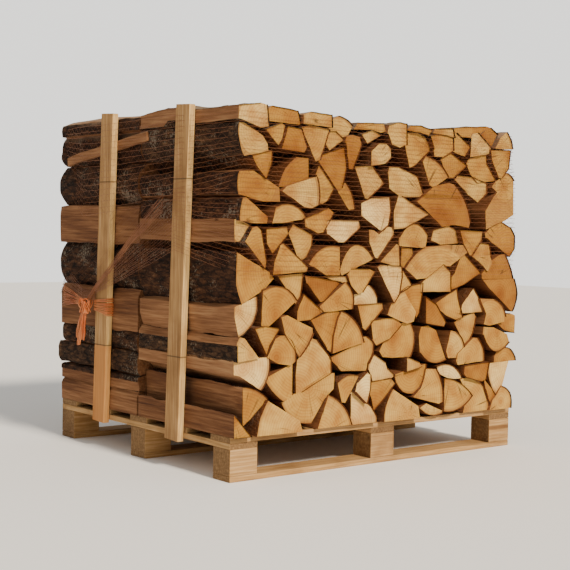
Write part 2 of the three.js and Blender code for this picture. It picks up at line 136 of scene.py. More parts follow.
def spread(ramp, codes):
    """Give a ramp these colours at even steps. A new ramp has two steps already."""
    for i, code in enumerate(codes):
        step = ramp.elements[i] if i < 2 else ramp.elements.new(1.0)
        step.position = i / (len(codes) - 1)
        step.color = colour(code)


def laid_over(tree, shade, source, span, shares, tint, blend="MIX"):
    """Lay a tint over a shade. While source crosses span, the tint's share goes from one to the other."""
    share = add(tree, "MapRange",
                {0: source, 1: span[0], 2: span[1], 3: shares[0], 4: shares[1]})
    return add(tree, "Mix", {0: share, 6: shade, 7: colour(tint)},
               data_type="RGBA", blend_type=blend).outputs[2]


def surface(tree, shader, shade, roughness, gloss, height, strength, depth):
    """Join a shade to the shader with its roughness and gloss, and a relief that is depth metres deep."""
    tree.links.new(shade, shader.inputs["Base Color"])
    shader.inputs["Roughness"].default_value = roughness
    shader.inputs["Specular IOR Level"].default_value = gloss
    bump = add(tree, "Bump", {"Strength": strength, "Distance": depth, "Height": height})
    tree.links.new(bump.outputs[0], shader.inputs["Normal"])


# %% [markdown]
# ## Light
# The cut ends should be bright and the left end should fall into soft shade. A sun from straight ahead of
# the cut ends does that, with a wide disc so that its shadows are soft. A weak panel on the left opens the
# shade there, and the studio's walls fill the rest.

# %% Lights
FILL_PLACE, FILL_AIM, FILL_SIZE, FILL_POWER = (-4.5, -2.0, 2.6), (0, 0, 0.5), 3.0, 14
SUN_TRAVEL, SUN_POWER, SUN_DISC = (0.02, 1.0, -0.72), 4.9, 9
WALL_LIGHTING, WALL_SEEN = 0.55, 1.6    # the camera sees brighter walls than those that light the load


def light(name, kind, power, tint, direction, place=(0, 0, 0)):
    """A light at place that shines along direction."""
    lamp = bpy.data.objects.new(name, bpy.data.lights.new(name, kind))
    lamp.data.energy = power
    lamp.data.color = colour(tint)[:3]
    lamp.location = place
    lamp.rotation_euler = Vector(direction).to_track_quat("-Z", "Y").to_euler()
    bpy.context.collection.objects.link(lamp)
    return lamp


fill = light("fill", "AREA", FILL_POWER, "#FFF6E6", Vector(FILL_AIM) - Vector(FILL_PLACE), FILL_PLACE)
fill.data.size = FILL_SIZE
sun = light("key", "SUN", SUN_POWER, "#FFF1DC", SUN_TRAVEL)
sun.data.angle = math.radians(SUN_DISC)

world = bpy.data.worlds.new("studio")
world.use_nodes = True
backdrop = world.node_tree.nodes["Background"]
backdrop.inputs["Color"].default_value = colour("#FFFDF8")
seen = add(world.node_tree, "LightPath").outputs["Is Camera Ray"]
strength = add(world.node_tree, "MapRange", {0: seen, 3: WALL_LIGHTING, 4: WALL_SEEN})
world.node_tree.links.new(strength.outputs[0], backdrop.inputs["Strength"])
bpy.context.scene.world = world
print("lights:", fill.name, sun.name, "and the walls")

# %% Floor
FLOOR_HALF = 12

bm = bmesh.new()
bmesh.ops.create_grid(bm, x_segments=1, y_segments=1, size=FLOOR_HALF)
floor_data = bpy.data.meshes.new("floor")
bm.to_mesh(floor_data)
bm.free()
floor = bpy.data.objects.new("floor", floor_data)
bpy.context.collection.objects.link(floor)
floor_paint, _, floor_shader = new_material("matt pale floor")
floor_shader.inputs["Base Color"].default_value = colour("#FBFAF8")
floor_shader.inputs["Roughness"].default_value = 0.9
floor.data.materials.append(floor_paint)
print("floor:", 2 * FLOOR_HALF, "m square")

# %% [markdown]
# ## The wood's finishes
# A log shows three surfaces. Its cut ends are sawn across the grain, so growth rings circle the pith and
# fine cracks run out from it. Its split faces follow the fibres, so they are streaked along the log. The
# rest is bark. Every log carries three attributes: "pith", the point's offset from the log's heart with the
# radius of its bark, "tone", the log's own shade, and a third that sets how much painted shade, a warm brown,
# a point takes in the gaps behind the cut ends. Rings and cracks are worked out from those, which keeps them
# centred on each log's own heart with one material for all.

# %% Rings and cracks
RING_WIDTH = 0.009          # real rings are about 3 mm: drawn wider so that they show


def about_the_pith(tree):
    """Distance and angle about the pith, and the distance as a share of the bark's radius."""
    offset = add(tree, "Attribute", attribute_name="pith").outputs["Vector"]
    x, z, bark_radius = add(tree, "SeparateXYZ", {0: offset}).outputs
    flat = add(tree, "CombineXYZ", {0: x, 1: z})
    radius = add(tree, "VectorMath", {0: flat}, operation="LENGTH").outputs["Value"]
    angle = add(tree, "Math", {0: z, 1: x}, operation="ARCTAN2")
    return radius, angle, add(tree, "Math", {0: radius, 1: bark_radius}, operation="DIVIDE")


def growth_rings(tree, place, radius):
    """A wave over the distance from the pith, pushed by up to 8 mm so that no ring is a true circle."""
    warp = add(tree, "TexNoise", {"Vector": place, "Scale": 28.0, "Detail": 2.0})
    pushed = add(tree, "Math", {0: warp, 1: 0.008, 2: radius}, operation="MULTIPLY_ADD")
    wave = add(tree, "Math", {0: pushed, 1: 2 * math.pi / RING_WIDTH}, operation="MULTIPLY")
    return add(tree, "Math", {0: wave}, operation="SINE")


def drying_cracks(tree, place, spoke):
    """Lines out from the pith where a noise crosses its middle value, in some regions 90 mm wide."""
    straight = add(tree, "VectorMath", {0: spoke, 1: (7.0, 2.5, 60.0)}, operation="MULTIPLY")
    swell = add(tree, "TexNoise", {"Vector": straight, "Scale": 1.1, "Detail": 0.0})
    off_half = add(tree, "Math", {0: swell, 1: 0.5}, operation="SUBTRACT")
    apart = add(tree, "Math", {0: off_half}, operation="ABSOLUTE")
    line = add(tree, "MapRange", {0: apart, 1: 0.0, 2: 0.02, 3: 1.0, 4: 0.0})
    region = add(tree, "TexNoise", {"Vector": place, "Scale": 11.0, "Detail": 1.0})
    some = add(tree, "MapRange", {0: region, 1: 0.46, 2: 0.6, 3: 0.0, 4: 0.85})
    return add(tree, "Math", {0: line, 1: some}, operation="MULTIPLY")


# %% Cut ends
SAWN_TONES = ["#8A5821", "#A5752E", "#B98E42", "#C59F55", "#E4C581"]


def sawn_end():
    """Beech and birch cut across the grain: pale tan, matt, with rings, rays and drying cracks."""
    made, tree, shader = new_material("sawn end grain")
    place = add(tree, "TexCoord").outputs["Object"]
    tone = add(tree, "Attribute", attribute_name="tone").outputs["Fac"]
    radius, angle, ratio = about_the_pith(tree)
    spoke = add(tree, "CombineXYZ", {0: angle, 1: radius, 2: tone})
    stretch = add(tree, "VectorMath", {0: spoke, 1: (7.0, 9.0, 60.0)}, operation="MULTIPLY")
    rays = add(tree, "TexNoise",
               {"Vector": stretch, "Scale": 2.2, "Detail": 5.0, "Roughness": 0.65})
    # stains about 60 mm across, as damp leaves them
    stains = add(tree, "TexNoise", {"Vector": place, "Scale": 17.0, "Detail": 4.0})
    base = add(tree, "ValToRGB", {0: tone})
    spread(base.color_ramp, SAWN_TONES)
    shade = base.outputs[0]
    for layer in ((stains, (0.4, 0.72), (0.0, 0.62), "#C08A4A", "MULTIPLY"),
                  (growth_rings(tree, place, radius), (-0.2, 1.0), (0.0, 0.24), "#B9803F", "MULTIPLY"),
                  (rays, (0.5, 0.8), (0.0, 0.35), "#A87440", "MULTIPLY"),
                  (ratio, (0.05, 0.5), (0.5, 0.0), "#C58C50", "MULTIPLY"),
                  (ratio, (0.955, 0.985), (0.0, 0.55), "#8A5A2E")):
        shade = laid_over(tree, shade, *layer)
    crack = drying_cracks(tree, place, spoke)
    cracked = add(tree, "Mix", {0: crack, 6: shade, 7: colour("#3A2413")}, data_type="RGBA")
    # the saw leaves ridges about 2 mm apart, drawn at 4 mm
    saw = add(tree, "VectorMath", {0: place, 1: (60.0, 1.0, 260.0)}, operation="MULTIPLY")
    ridges = add(tree, "TexNoise", {"Vector": saw, "Scale": 1.0, "Detail": 3.0})
    height = add(tree, "Math", {0: ridges, 1: crack}, operation="SUBTRACT")
    surface(tree, shader, cracked.outputs[2], 0.82, 0.2, height, 0.3, 0.0010)
    return made


SAWN = sawn_end()
print("material:", SAWN.name, "with", len(SAWN.node_tree.nodes), "nodes")

# %% [markdown]
# ## Split faces, bark and weather
# A split face is wood torn along its fibres, so its streaks and ridges run along the log. Bark is cracked
# into plates with furrows between them. Both get the same two layers: painted shade, a warm brown in the gaps
# behind the cut ends, and weather, which bleaches the top course where it faces the sky. Noise that is
# stretched along Y gives the fibres, because every log lies along Y.

# %% Painted gap shade and weather


def gap_shaded_and_bleached(tree, place, plain):
    """Painted shade browns the gaps behind the cut ends. Sun and rain bleach what faces up on the top course.
    """
    gap_shade = add(tree, "Attribute", attribute_name="gap_shade").outputs["Fac"]
    brown = add(tree, "Mix", {0: gap_shade, 6: plain, 7: colour("#7E4A26")}, data_type="RGBA")
    normal = add(tree, "NewGeometry").outputs["Normal"]
    upward = add(tree, "SeparateXYZ", {0: normal}).outputs[2]
    height = add(tree, "SeparateXYZ", {0: place}).outputs[2]
    level = add(tree, "MapRange", {0: upward, 1: 0.25, 2: 0.8})
    top = add(tree, "MapRange", {0: height, 1: 1.0, 2: 1.04, 4: 0.42})
    bleach = add(tree, "Math", {0: level, 1: top}, operation="MULTIPLY")
    return add(tree, "Mix", {0: bleach, 6: brown.outputs[2], 7: colour("#B59C80")},
               data_type="RGBA").outputs[2]


# %% Split faces
SPLIT_TONES = ["#442819", "#694328", "#895F3E", "#A97F57"]


def split_face():
    """Wood torn along its fibres: warm brown, streaked along Y, rough, a little greyer than a fresh cut."""
    made, tree, shader = new_material("split face")
    place = add(tree, "TexCoord").outputs["Object"]
    tone = add(tree, "Attribute", attribute_name="tone").outputs["Fac"]
    # fibre bundles are about 1 mm wide: drawn at 7 mm, and 180 mm long, so that they show
    along = add(tree, "VectorMath", {0: place, 1: (150.0, 5.5, 150.0)}, operation="MULTIPLY")
    fibre = add(tree, "TexNoise",
                {"Vector": along, "Scale": 1.0, "Detail": 5.0, "Roughness": 0.62})
    # paler and darker patches, 33 to 45 mm wide and 330 mm long, where the split wandered
    broad = add(tree, "VectorMath", {0: place, 1: (22.0, 3.0, 30.0)}, operation="MULTIPLY")
    patch = add(tree, "TexNoise", {"Vector": broad, "Scale": 1.0, "Detail": 3.0})
    mixed = add(tree, "Math", {0: patch, 1: 0.9, 2: fibre}, operation="MULTIPLY_ADD")
    toned = add(tree, "Math", {0: tone, 1: 0.3, 2: mixed}, operation="MULTIPLY_ADD")
    level = add(tree, "MapRange", {0: toned, 1: 0.72, 2: 1.5})
    base = add(tree, "ValToRGB", {0: level})
    spread(base.color_ramp, SPLIT_TONES)
    surface(tree, shader, gap_shaded_and_bleached(tree, place, base.outputs[0]), 0.85, 0.2, mixed, 0.8, 0.004)
    return made


SPLIT = split_face()
print("material:", SPLIT.name, "with", len(SPLIT.node_tree.nodes), "nodes")

# %% Bark
BARK_TONES = ["#17100B", "#33241A", "#523C2A", "#7A6047"]


def bark():
    """Dry bark: dark grey-brown plates and furrows along the log, flecked with pale lichen."""
    made, tree, shader = new_material("dry bark")
    place = add(tree, "TexCoord").outputs["Object"]
    tone = add(tree, "Attribute", attribute_name="tone").outputs["Fac"]
    # furrows about 14 mm apart and 50 mm long
    along = add(tree, "VectorMath", {0: place, 1: (70.0, 20.0, 70.0)}, operation="MULTIPLY")
    furrow = add(tree, "TexNoise",
                 {"Vector": along, "Scale": 1.0, "Detail": 6.0, "Roughness": 0.7})
    swirl = add(tree, "TexNoise", {"Vector": place, "Scale": 60.0}).outputs[1]
    warped = add(tree, "VectorMath", {0: swirl, 1: (0.9, 0.9, 0.9), 2: along},
                 operation="MULTIPLY_ADD")
    plate = add(tree, "TexVoronoi", {"Vector": warped, "Scale": 0.9}, feature="DISTANCE_TO_EDGE")
    ridge = add(tree, "MapRange", {0: plate, 1: 0.0, 2: 0.16})
    relief = add(tree, "Math", {0: ridge, 1: 0.14, 2: furrow}, operation="MULTIPLY_ADD")
    level = add(tree, "MapRange", {0: relief, 1: 0.42, 2: 0.86})
    base = add(tree, "ValToRGB", {0: level})
    spread(base.color_ramp, BARK_TONES)
    rusty = laid_over(tree, base.outputs[0], tone, (0.2, 0.9), (0.75, 0.0), "#C98A62", "MULTIPLY")
    # lichen in flecks of about 8 mm, thick in some regions 110 mm wide and absent in others
    fleck = add(tree, "TexNoise",
                {"Vector": place, "Scale": 130.0, "Detail": 4.0, "Roughness": 0.7})
    region = add(tree, "TexNoise", {"Vector": place, "Scale": 9.0, "Detail": 2.0})
    both = add(tree, "Math", {0: region, 1: 0.7, 2: fleck}, operation="MULTIPLY_ADD")
    flecked = laid_over(tree, rusty, both, (0.95, 1.05), (0.0, 0.6), "#8E8170")
    surface(tree, shader, gap_shaded_and_bleached(tree, place, flecked), 0.92, 0.15, relief, 1.0, 0.008)
    return made


BARK = bark()
print("material:", BARK.name, "with", len(BARK.node_tree.nodes), "nodes")

# %% [markdown]
# ## The logs
# Each log starts as the outline of its cut end: a few corners, given here in mm in the row's cut face. A
# third number is the bulge of a round stretch, which is where the bark is. "edge" logs close the right end
# of the front row, and "far" logs close the back row there instead, which is the front row turned round.
# A list of corners a log is used, because no two real logs split alike and their shapes fit each other.

# %% The log table
COURSES = {course: {} for course in ("bottom", "low", "middle", "high", "top")}
COURSES["bottom"]["left"] = [
    [[-600, 133], [-600, 195], [-545, 133]],
    [[-566, 272, 8], [-486, 236], [-540, 188], [-564, 169]],
    [[-519, 133, 8], [-484, 229], [-368, 163], [-358, 133]],
    [[-418, 222], [-355, 250], [-252, 297], [-228, 296], [-229, 254], [-262, 226], [-308, 158, 22]],
    [[-282, 138], [-248, 228, 16], [-159, 138]]]
COURSES["bottom"]["centre"] = [
    [[-209, 268, 12], [-136, 284], [-184, 211], [-192, 212]],
    [[-151, 138], [-148, 229], [-140, 236], [-70, 182], [-47, 150], [-47, 138]],
    [[-140, 240], [-134, 264], [-97, 292], [-86, 284], [-86, 245], [-97, 203]],
    [[-84, 260], [10, 266], [23, 253], [-15, 215], [-56, 177]],
    [[-82, 304], [-79, 320], [-62, 345], [-14, 318], [-6, 300], [27, 278], [15, 273], [-66, 270]],
    [[-16, 138, 12], [18, 231], [125, 171], [133, 138]],
    [[33, 278], [167, 304, 20], [114, 220, 20]],
    [[77, 292], [77, 331], [130, 312], [140, 303]]]
COURSES["bottom"]["right"] = [
    [[118, 205], [150, 228], [166, 262], [172, 287], [208, 285, 10], [237, 183], [225, 179]],
    [[156, 164], [180, 173], [252, 147, 17]],
    [[254, 153, 17], [371, 193, 14], [253, 252]],
    [[356, 138], [470, 138, 25], [388, 249], [340, 246], [373, 195]],
    [[446, 241], [502, 187], [480, 163, 6]],
    [[347, 290], [345, 268], [355, 259], [432, 240], [447, 245], [460, 297]],
    [[228, 292, 24], [342, 252, 8], [236, 274]]]
COURSES["bottom"]["edge"] = [
    [[474, 138], [573, 138, 22], [530, 208], [508, 183], [487, 165]],
    [[472, 291], [563, 294], [534, 212], [522, 190], [508, 190, 6], [468, 264]]]
COURSES["bottom"]["far"] = [
    [[474, 134], [600, 134], [600, 186], [588, 201], [533, 206], [508, 184], [487, 165]],
    [[597, 213], [600, 238, 6], [586, 254], [500, 260], [478, 250], [484, 222], [503, 199], [530, 213]],
    [[586, 266, 14], [590, 330], [500, 337], [474, 320], [468, 268]]]
COURSES["low"]["left"] = [
    [[-602, 351], [-484, 357, 12], [-510, 272], [-580, 314], [-598, 318]],
    [[-602, 356, 4], [-602, 398], [-590, 419], [-577, 416], [-524, 361]],
    [[-486, 296], [-388, 332], [-389, 241], [-416, 231, 7]],
    [[-480, 362], [-455, 410], [-440, 418], [-425, 418, 14], [-389, 345], [-400, 337], [-445, 344]],
    [[-535, 444], [-498, 448], [-450, 441], [-484, 398], [-491, 371]],
    [[-371, 300], [-366, 345], [-312, 405], [-297, 400], [-244, 342], [-243, 303], [-350, 254], [-369, 251]],
    [[-437, 474], [-420, 478], [-324, 438], [-323, 428, 4], [-371, 363], [-424, 432]],
    [[-603, 506], [-577, 514], [-533, 534, 24], [-588, 429], [-599, 480]],
    [[-322, 464], [-250, 487], [-214, 492], [-208, 478], [-238, 398], [-245, 371], [-257, 379]]]
COURSES["low"]["centre"] = [
    [[-236, 366], [-232, 412], [-214, 468], [-205, 482, 18], [-118, 391]],
    [[-240, 345], [-118, 387], [-112, 401], [-95, 402], [-67, 385], [-68, 358], [-92, 304], [-190, 308],
     [-204, 320]],
    [[-142, 503], [-40, 506], [-38, 494], [-80, 457], [-106, 433], [-118, 441]],
    [[-78, 452], [-30, 457], [30, 456], [47, 440], [0, 401], [-55, 383], [-70, 400]],
    [[-30, 358], [-15, 384], [48, 437], [88, 446, 19], [92, 338], [20, 339], [-18, 343]],
    [[-10, 476, 14], [55, 541], [103, 478], [95, 452], [70, 447], [40, 457]]]
COURSES["low"]["right"] = [
    [[147, 425], [175, 428], [213, 412], [262, 322, 22], [146, 350], [140, 400]],
    [[282, 408], [300, 404, 8], [336, 355], [306, 326], [272, 326], [264, 345]],
    [[308, 312], [313, 332], [385, 381], [399, 380, 12], [432, 308], [314, 302]],
    [[302, 437], [325, 452], [392, 464], [398, 455], [386, 405], [360, 364], [352, 366]],
    [[152, 524], [197, 499], [243, 441], [238, 433], [155, 446]],
    [[198, 500], [298, 546], [304, 515], [326, 458], [300, 452], [255, 468]]]
COURSES["low"]["edge"] = [
    [[503, 300], [503, 314], [512, 328, 30], [597, 299]],
    [[436, 416], [480, 413], [545, 388], [553, 370, 45], [433, 398]],
    [[512, 430], [545, 457], [575, 458], [598, 451], [602, 440], [601, 398], [548, 409]]]
COURSES["low"]["far"] = [
    [[590, 343, 12], [590, 396], [560, 402], [470, 418], [442, 416], [438, 380], [452, 345], [480, 342]],
    [[602, 403], [604, 500], [590, 532], [542, 528], [540, 438], [528, 416], [560, 408]]]
COURSES["middle"]["left"] = [
    [[-507, 457], [-504, 552, 26], [-390, 523], [-437, 490], [-485, 455]],
    [[-377, 467], [-376, 492], [-354, 538], [-284, 490], [-325, 471]],
    [[-448, 596], [-358, 601], [-366, 538], [-380, 518], [-420, 568]],
    [[-474, 606], [-470, 640], [-452, 682], [-440, 688], [-350, 622], [-352, 614]],
    [[-577, 522, 12], [-604, 664], [-482, 605], [-468, 591], [-500, 562]],
    [[-570, 697], [-548, 732], [-532, 737], [-520, 728], [-500, 640], [-502, 624]],
    [[-501, 731], [-430, 738], [-427, 722], [-478, 668], [-497, 694]],
    [[-605, 756], [-588, 755], [-560, 743], [-590, 702], [-601, 700]],
    [[-287, 504], [-195, 571, 14], [-170, 498], [-284, 491]],
    [[-345, 595], [-212, 577], [-275, 525], [-287, 522], [-340, 578]],
    [[-275, 595], [-180, 591], [-176, 579], [-215, 581]],
    [[-338, 633, 22], [-224, 681], [-221, 603], [-270, 603], [-315, 627]],
    [[-411, 724], [-396, 746], [-326, 717], [-327, 690], [-345, 655], [-358, 648], [-375, 658]]]
COURSES["middle"]["centre"] = [
    [[-213, 612, 62], [-78, 647], [-205, 603]],
    [[-180, 598], [-165, 614], [-95, 613], [-78, 607], [-124, 549], [-140, 545], [-168, 570]],
    [[-161, 508], [-160, 525], [-98, 563], [-85, 561, 4], [-56, 525], [-55, 512], [-130, 504]],
    [[-56, 619], [-45, 626], [36, 621], [37, 590], [26, 540], [8, 515]],
    [[43, 612], [56, 606], [88, 566], [46, 544]],
    [[57, 545], [80, 557], [140, 566], [137, 535], [124, 475], [116, 463], [66, 534]],
    [[-48, 641], [15, 693], [23, 688], [27, 632], [0, 632]],
    [[50, 681], [95, 678], [98, 665], [68, 626], [52, 624]],
    [[70, 618, 8], [150, 682], [250, 691], [325, 691], [340, 675], [262, 630], [235, 630], [165, 592],
     [115, 588]],
    [[141, 547], [140, 570], [232, 626], [262, 604], [267, 546]]]
COURSES["middle"]["right"] = [
    [[326, 471], [334, 495], [388, 545], [416, 511], [438, 474]],
    [[418, 512], [475, 509, 13], [530, 450], [530, 440], [460, 428], [438, 433], [447, 466]],
    [[270, 549], [268, 574], [296, 600], [325, 657], [338, 661], [412, 604], [335, 568]],
    [[370, 661], [402, 699], [449, 695], [459, 652], [468, 638], [458, 620], [446, 611], [425, 630]],
    [[303, 742], [411, 738], [408, 716], [365, 665], [352, 667], [322, 702]],
    [[183, 712], [190, 737], [262, 753], [296, 741], [312, 704], [225, 699]]]
COURSES["middle"]["edge"] = [
    [[430, 577], [572, 578, 18], [566, 475], [450, 560]],
    [[428, 585], [427, 598], [472, 640], [512, 659], [532, 661, 4], [572, 585]],
    [[443, 735], [465, 752], [515, 770], [560, 752], [578, 728], [577, 685], [556, 662], [490, 699],
     [447, 722]]]
COURSES["middle"]["far"] = [
    [[572, 537], [500, 524], [432, 575], [430, 600], [470, 648], [540, 678], [572, 678, 31]],
    [[600, 684], [605, 760], [600, 799], [575, 803], [520, 770], [447, 738], [451, 722], [492, 697],
     [548, 682]]]
COURSES["high"]["left"] = [
    [[-597, 761, 4], [-588, 817], [-578, 819], [-503, 768], [-505, 755], [-550, 755]],
    [[-594, 836, 6], [-594, 893], [-545, 897], [-452, 853], [-448, 819], [-505, 818]],
    [[-475, 755], [-463, 794, 24], [-351, 769], [-440, 757]],
    [[-437, 847], [-425, 857], [-345, 881], [-318, 888, 6], [-309, 812], [-330, 803], [-355, 806]],
    [[-446, 861, 12], [-385, 944], [-345, 943], [-343, 886], [-400, 866]],
    [[-355, 766], [-270, 797], [-254, 787], [-290, 732], [-308, 729], [-352, 746]],
    [[-308, 900], [-300, 922], [-246, 862], [-268, 826], [-283, 818], [-298, 820]],
    [[-550, 941], [-486, 958], [-487, 925], [-502, 884], [-533, 915]]]
COURSES["high"]["centre"] = [
    [[-272, 742], [-268, 761], [-145, 761], [-142, 747], [-203, 703], [-228, 703], [-268, 726]],
    [[-215, 852], [-208, 868], [-192, 875, 8], [-159, 804], [-172, 802]],
    [[-100, 735], [-80, 733], [-60, 722], [-24, 746], [0, 742], [0, 728], [-62, 655], [-73, 658], [-97, 700]],
    [[-126, 785], [-126, 818], [-90, 833], [-18, 839], [-13, 800], [-22, 758], [-42, 740], [-58, 746]],
    [[-158, 928], [-88, 934], [-38, 886], [-100, 838], [-112, 841]],
    [[4, 747], [4, 800], [20, 844], [34, 843], [100, 812], [152, 793], [45, 750]],
    [[-12, 915], [-6, 934], [30, 934], [108, 910], [141, 851], [38, 849], [-6, 872]],
    [[38, 694], [38, 712, 42], [153, 722], [147, 688]]]
COURSES["high"]["right"] = [
    [[107, 832], [180, 880], [250, 893], [270, 889, 14], [355, 770], [352, 758], [285, 765], [225, 758],
     [175, 790]],
    [[295, 908], [305, 920], [370, 917], [432, 900], [434, 872], [398, 842], [350, 867]],
    [[133, 960], [142, 973, 12], [233, 915], [175, 884], [162, 890]]]
COURSES["high"]["edge"] = [
    [[444, 754], [440, 810], [478, 857], [497, 876], [470, 893], [485, 908], [536, 937, 4], [567, 915],
     [571, 803], [515, 777]]]
COURSES["high"]["far"] = [
    [[574, 812], [520, 780], [450, 750], [444, 812], [478, 860], [500, 880], [560, 936], [576, 934, 30]]]
COURSES["top"]["left"] = [
    [[-600, 1032], [-583, 1031], [-515, 999], [-498, 978], [-495, 961], [-580, 946, 3], [-597, 985, 4]],
    [[-604, 1048], [-603, 1080], [-530, 1091], [-512, 1088], [-505, 1034], [-530, 1028]],
    [[-497, 1021], [-445, 1041], [-434, 1034], [-442, 1005], [-456, 983]],
    [[-428, 1031], [-380, 1027], [-359, 978], [-367, 966], [-446, 972], [-436, 1000]],
    [[-372, 1033], [-340, 1041], [-273, 1033], [-307, 948], [-320, 942]],
    [[-501, 1050], [-499, 1076], [-480, 1087], [-385, 1080], [-374, 1048], [-430, 1049]],
    [[-366, 1050], [-366, 1071], [-345, 1079], [-268, 1076], [-266, 1046], [-300, 1048]],
    [[-279, 1000], [-270, 1027], [-238, 1029], [-209, 1011], [-262, 979]],
    [[-300, 938], [-296, 955], [-204, 984], [-199, 925], [-216, 866], [-228, 857]]]
COURSES["top"]["centre"] = [
    [[-201, 1000], [-196, 1016], [-175, 1022], [-150, 1018], [-144, 1000], [-176, 926], [-188, 926]],
    [[-260, 1038], [-255, 1060], [-225, 1076, 6], [-172, 1052], [-186, 1030], [-206, 1022], [-236, 1036]],
    [[-99, 940], [-99, 978], [-65, 1004], [-35, 1004], [-18, 990], [-18, 968], [-40, 950]],
    [[-132, 1030], [-113, 1008], [-58, 1034], [-90, 1042]],
    [[-166, 1046], [-150, 1062], [-40, 1067], [-34, 1050], [-55, 1045], [-95, 1052]],
    [[-26, 1040], [-20, 1064], [10, 1074], [44, 1072], [44, 1012], [20, 1003], [-12, 1010]],
    [[52, 1018], [53, 1037], [68, 1046], [110, 1047], [145, 1037], [170, 1004], [95, 949], [78, 943]],
    [[58, 1056], [75, 1068], [110, 1071], [165, 1062], [150, 1049], [110, 1056]]]
COURSES["top"]["right"] = [
    [[213, 968], [228, 985], [248, 994], [326, 958], [268, 919], [240, 919]],
    [[342, 960], [352, 977], [432, 999], [434, 968], [484, 917], [395, 907], [360, 932]],
    [[160, 1042], [185, 1048], [225, 1046], [254, 1040], [256, 1006], [215, 984], [182, 984], [178, 1003]],
    [[264, 1006], [266, 1036], [270, 1055], [286, 1058], [347, 1020], [325, 992], [290, 998]],
    [[352, 990], [358, 1048], [370, 1063], [387, 1065], [447, 1022], [444, 1008]],
    [[175, 1056], [182, 1066], [255, 1070], [262, 1048], [225, 1053]],
    [[272, 1064], [290, 1077], [430, 1090], [445, 1090], [424, 1083], [401, 1069], [368, 1070],
     [355, 1056], [306, 1055], [288, 1064]]]
COURSES["top"]["edge"] = [
    [[450, 1012], [454, 985], [486, 928], [502, 929], [530, 960], [540, 1016]],
    [[476, 1025], [500, 1057], [528, 1075, 6], [554, 1027]],
    [[403, 1062], [425, 1076], [450, 1086], [479, 1070], [460, 1036], [448, 1034]]]
COURSES["top"]["far"] = [
    [[574, 946, 12], [592, 992, 6], [578, 1036], [455, 1014], [458, 985], [492, 928], [560, 945]],
    [[600, 1046, 4], [599, 1078], [570, 1090], [520, 1076], [482, 1060], [478, 1028], [520, 1032]],
    [[403, 1062], [425, 1076], [450, 1086], [474, 1070], [460, 1036], [448, 1034]]]

# %% Tones of single logs
# these came from redder and from paler trees than the rest
ORANGE = {
    "bottom_right_5", "bottom_right_6", "middle_edge_1", "middle_edge_2", "low_right_5",
    "middle_left_10", "top_left_4", "high_left_5", "top_left_9", "top_centre_1", "high_right_1",
    "top_edge_3"}
PALE = {
    "bottom_centre_2", "bottom_centre_3", "bottom_centre_5", "bottom_right_7", "bottom_edge_2",
    "low_left_1", "low_left_8", "middle_centre_3", "middle_centre_4", "low_right_5",
    "middle_right_1", "high_centre_1", "top_left_2", "high_centre_4"}
print("outlines in the table:", sum(len(logs) for course in COURSES.values() for logs in course.values()))

# %% [markdown]
# ## The shape of a log
# A log is the outline of its cut end, extruded along Y. The outline is grown by a few millimetres until only
# a dark seam is left, because the outlines were taken a little inside the wood's edge. Bark gets a rim that
# stands proud of the wood. The long edges are then divided and every ring of points is moved by noise, which
# is steady for a log's number, so the stack comes out the same each time.

# %% Outline helpers
SEAM = 0.0042               # how much each outline grows
LARGEST_TRUNK = 0.17        # no trunk here had a larger radius


def hash_of(*values):
    """A steady number from 0 to 1 that belongs to these values."""
    mixed = sum(v * k for v, k in zip(values, (12.9898, 78.233, 37.719)))
    return math.modf(abs(math.sin(mixed) * 43758.5453))[0]


def swollen(corners, margin):
    """The corners moved outwards, so that logs meet but for a dark seam."""
    flat = [Vector((c[0], c[1])) * MM for c in corners]
    area = sum(a.x * b.y - b.x * a.y for a, b in zip(flat, flat[1:] + flat[:1]))
    moved = []
    for i, point in enumerate(flat):
        arriving = (point - flat[i - 1]).normalized()
        leaving = (flat[(i + 1) % len(flat)] - point).normalized()
        out = Vector((arriving.y + leaving.y, -arriving.x - leaving.x)) * (1 if area > 0 else -1)
        reach = margin * min(2 / max(out.length, 0.1), 1.5)
        moved.append(point + out.normalized() * reach)
    return moved


def stretch_points(start, end, edge, bulge, outward, step):
    """Divide one stretch of the outline, and push its new points out by the bulge."""
    first, chord = start.co.copy(), end.co - start.co
    parts = max(4 if bulge else 1, round(chord.length / step))
    edges = [edge]
    last, rest = start, edge
    for k in range(1, parts):
        made, point = bmesh.utils.edge_split(rest, last, 1 / (parts - k + 1))
        edges.append(made)
        rest = made if end in made.verts else rest
        last = point
        t = k / parts
        rough = 0.0011 * noise.noise((first + chord * t) * 55)
        point.co = first + chord * t + outward * (bulge * (1 - (2 * t - 1) ** 2) + rough)
    return edges


def heart_of(corners):
    """The pith of a log: the middle of its roundest stretch's circle, or else its sharpest corner."""
    flat = [Vector((c[0], 0, c[1])) * MM for c in corners]
    middle = sum(flat, Vector()) / len(flat)
    rounds = [(c[2] * MM, i) for i, c in enumerate(corners) if len(c) > 2]
    if rounds:
        bulge, i = max(rounds)
        start, end = flat[i], flat[(i + 1) % len(flat)]
        half = (end - start).length / 2
        radius = (half * half + bulge * bulge) / (2 * bulge)
        chord = (start + end) / 2
        away = Vector((end.z - start.z, 0, start.x - end.x)).normalized()
        if away.dot(chord - middle) < 0:
            away = -away
        reach = min(radius, LARGEST_TRUNK)
        return chord + away * (bulge - reach), reach
    sharp = min(range(len(flat)), key=lambda i: (
        (flat[i - 1] - flat[i]).normalized().angle((flat[(i + 1) % len(flat)] - flat[i]).normalized())))
    heart = flat[sharp]
    return heart, max((p - heart).length for p in flat)


# %% Cut face and bark rim
SPLIT_SLOT, BARK_SLOT = 1, 2    # the cut end has slot 0
FACE = 0.520                # from the middle of the load to a row's cut face
RIM = 0.0055                # how far bark stands out
FAR_SHARE = 0.72            # a straight side this far from the heart, as a share of the reach, has bark
SAWN_OFF = 0.588            # a straight side that lies wholly beyond this is split wood


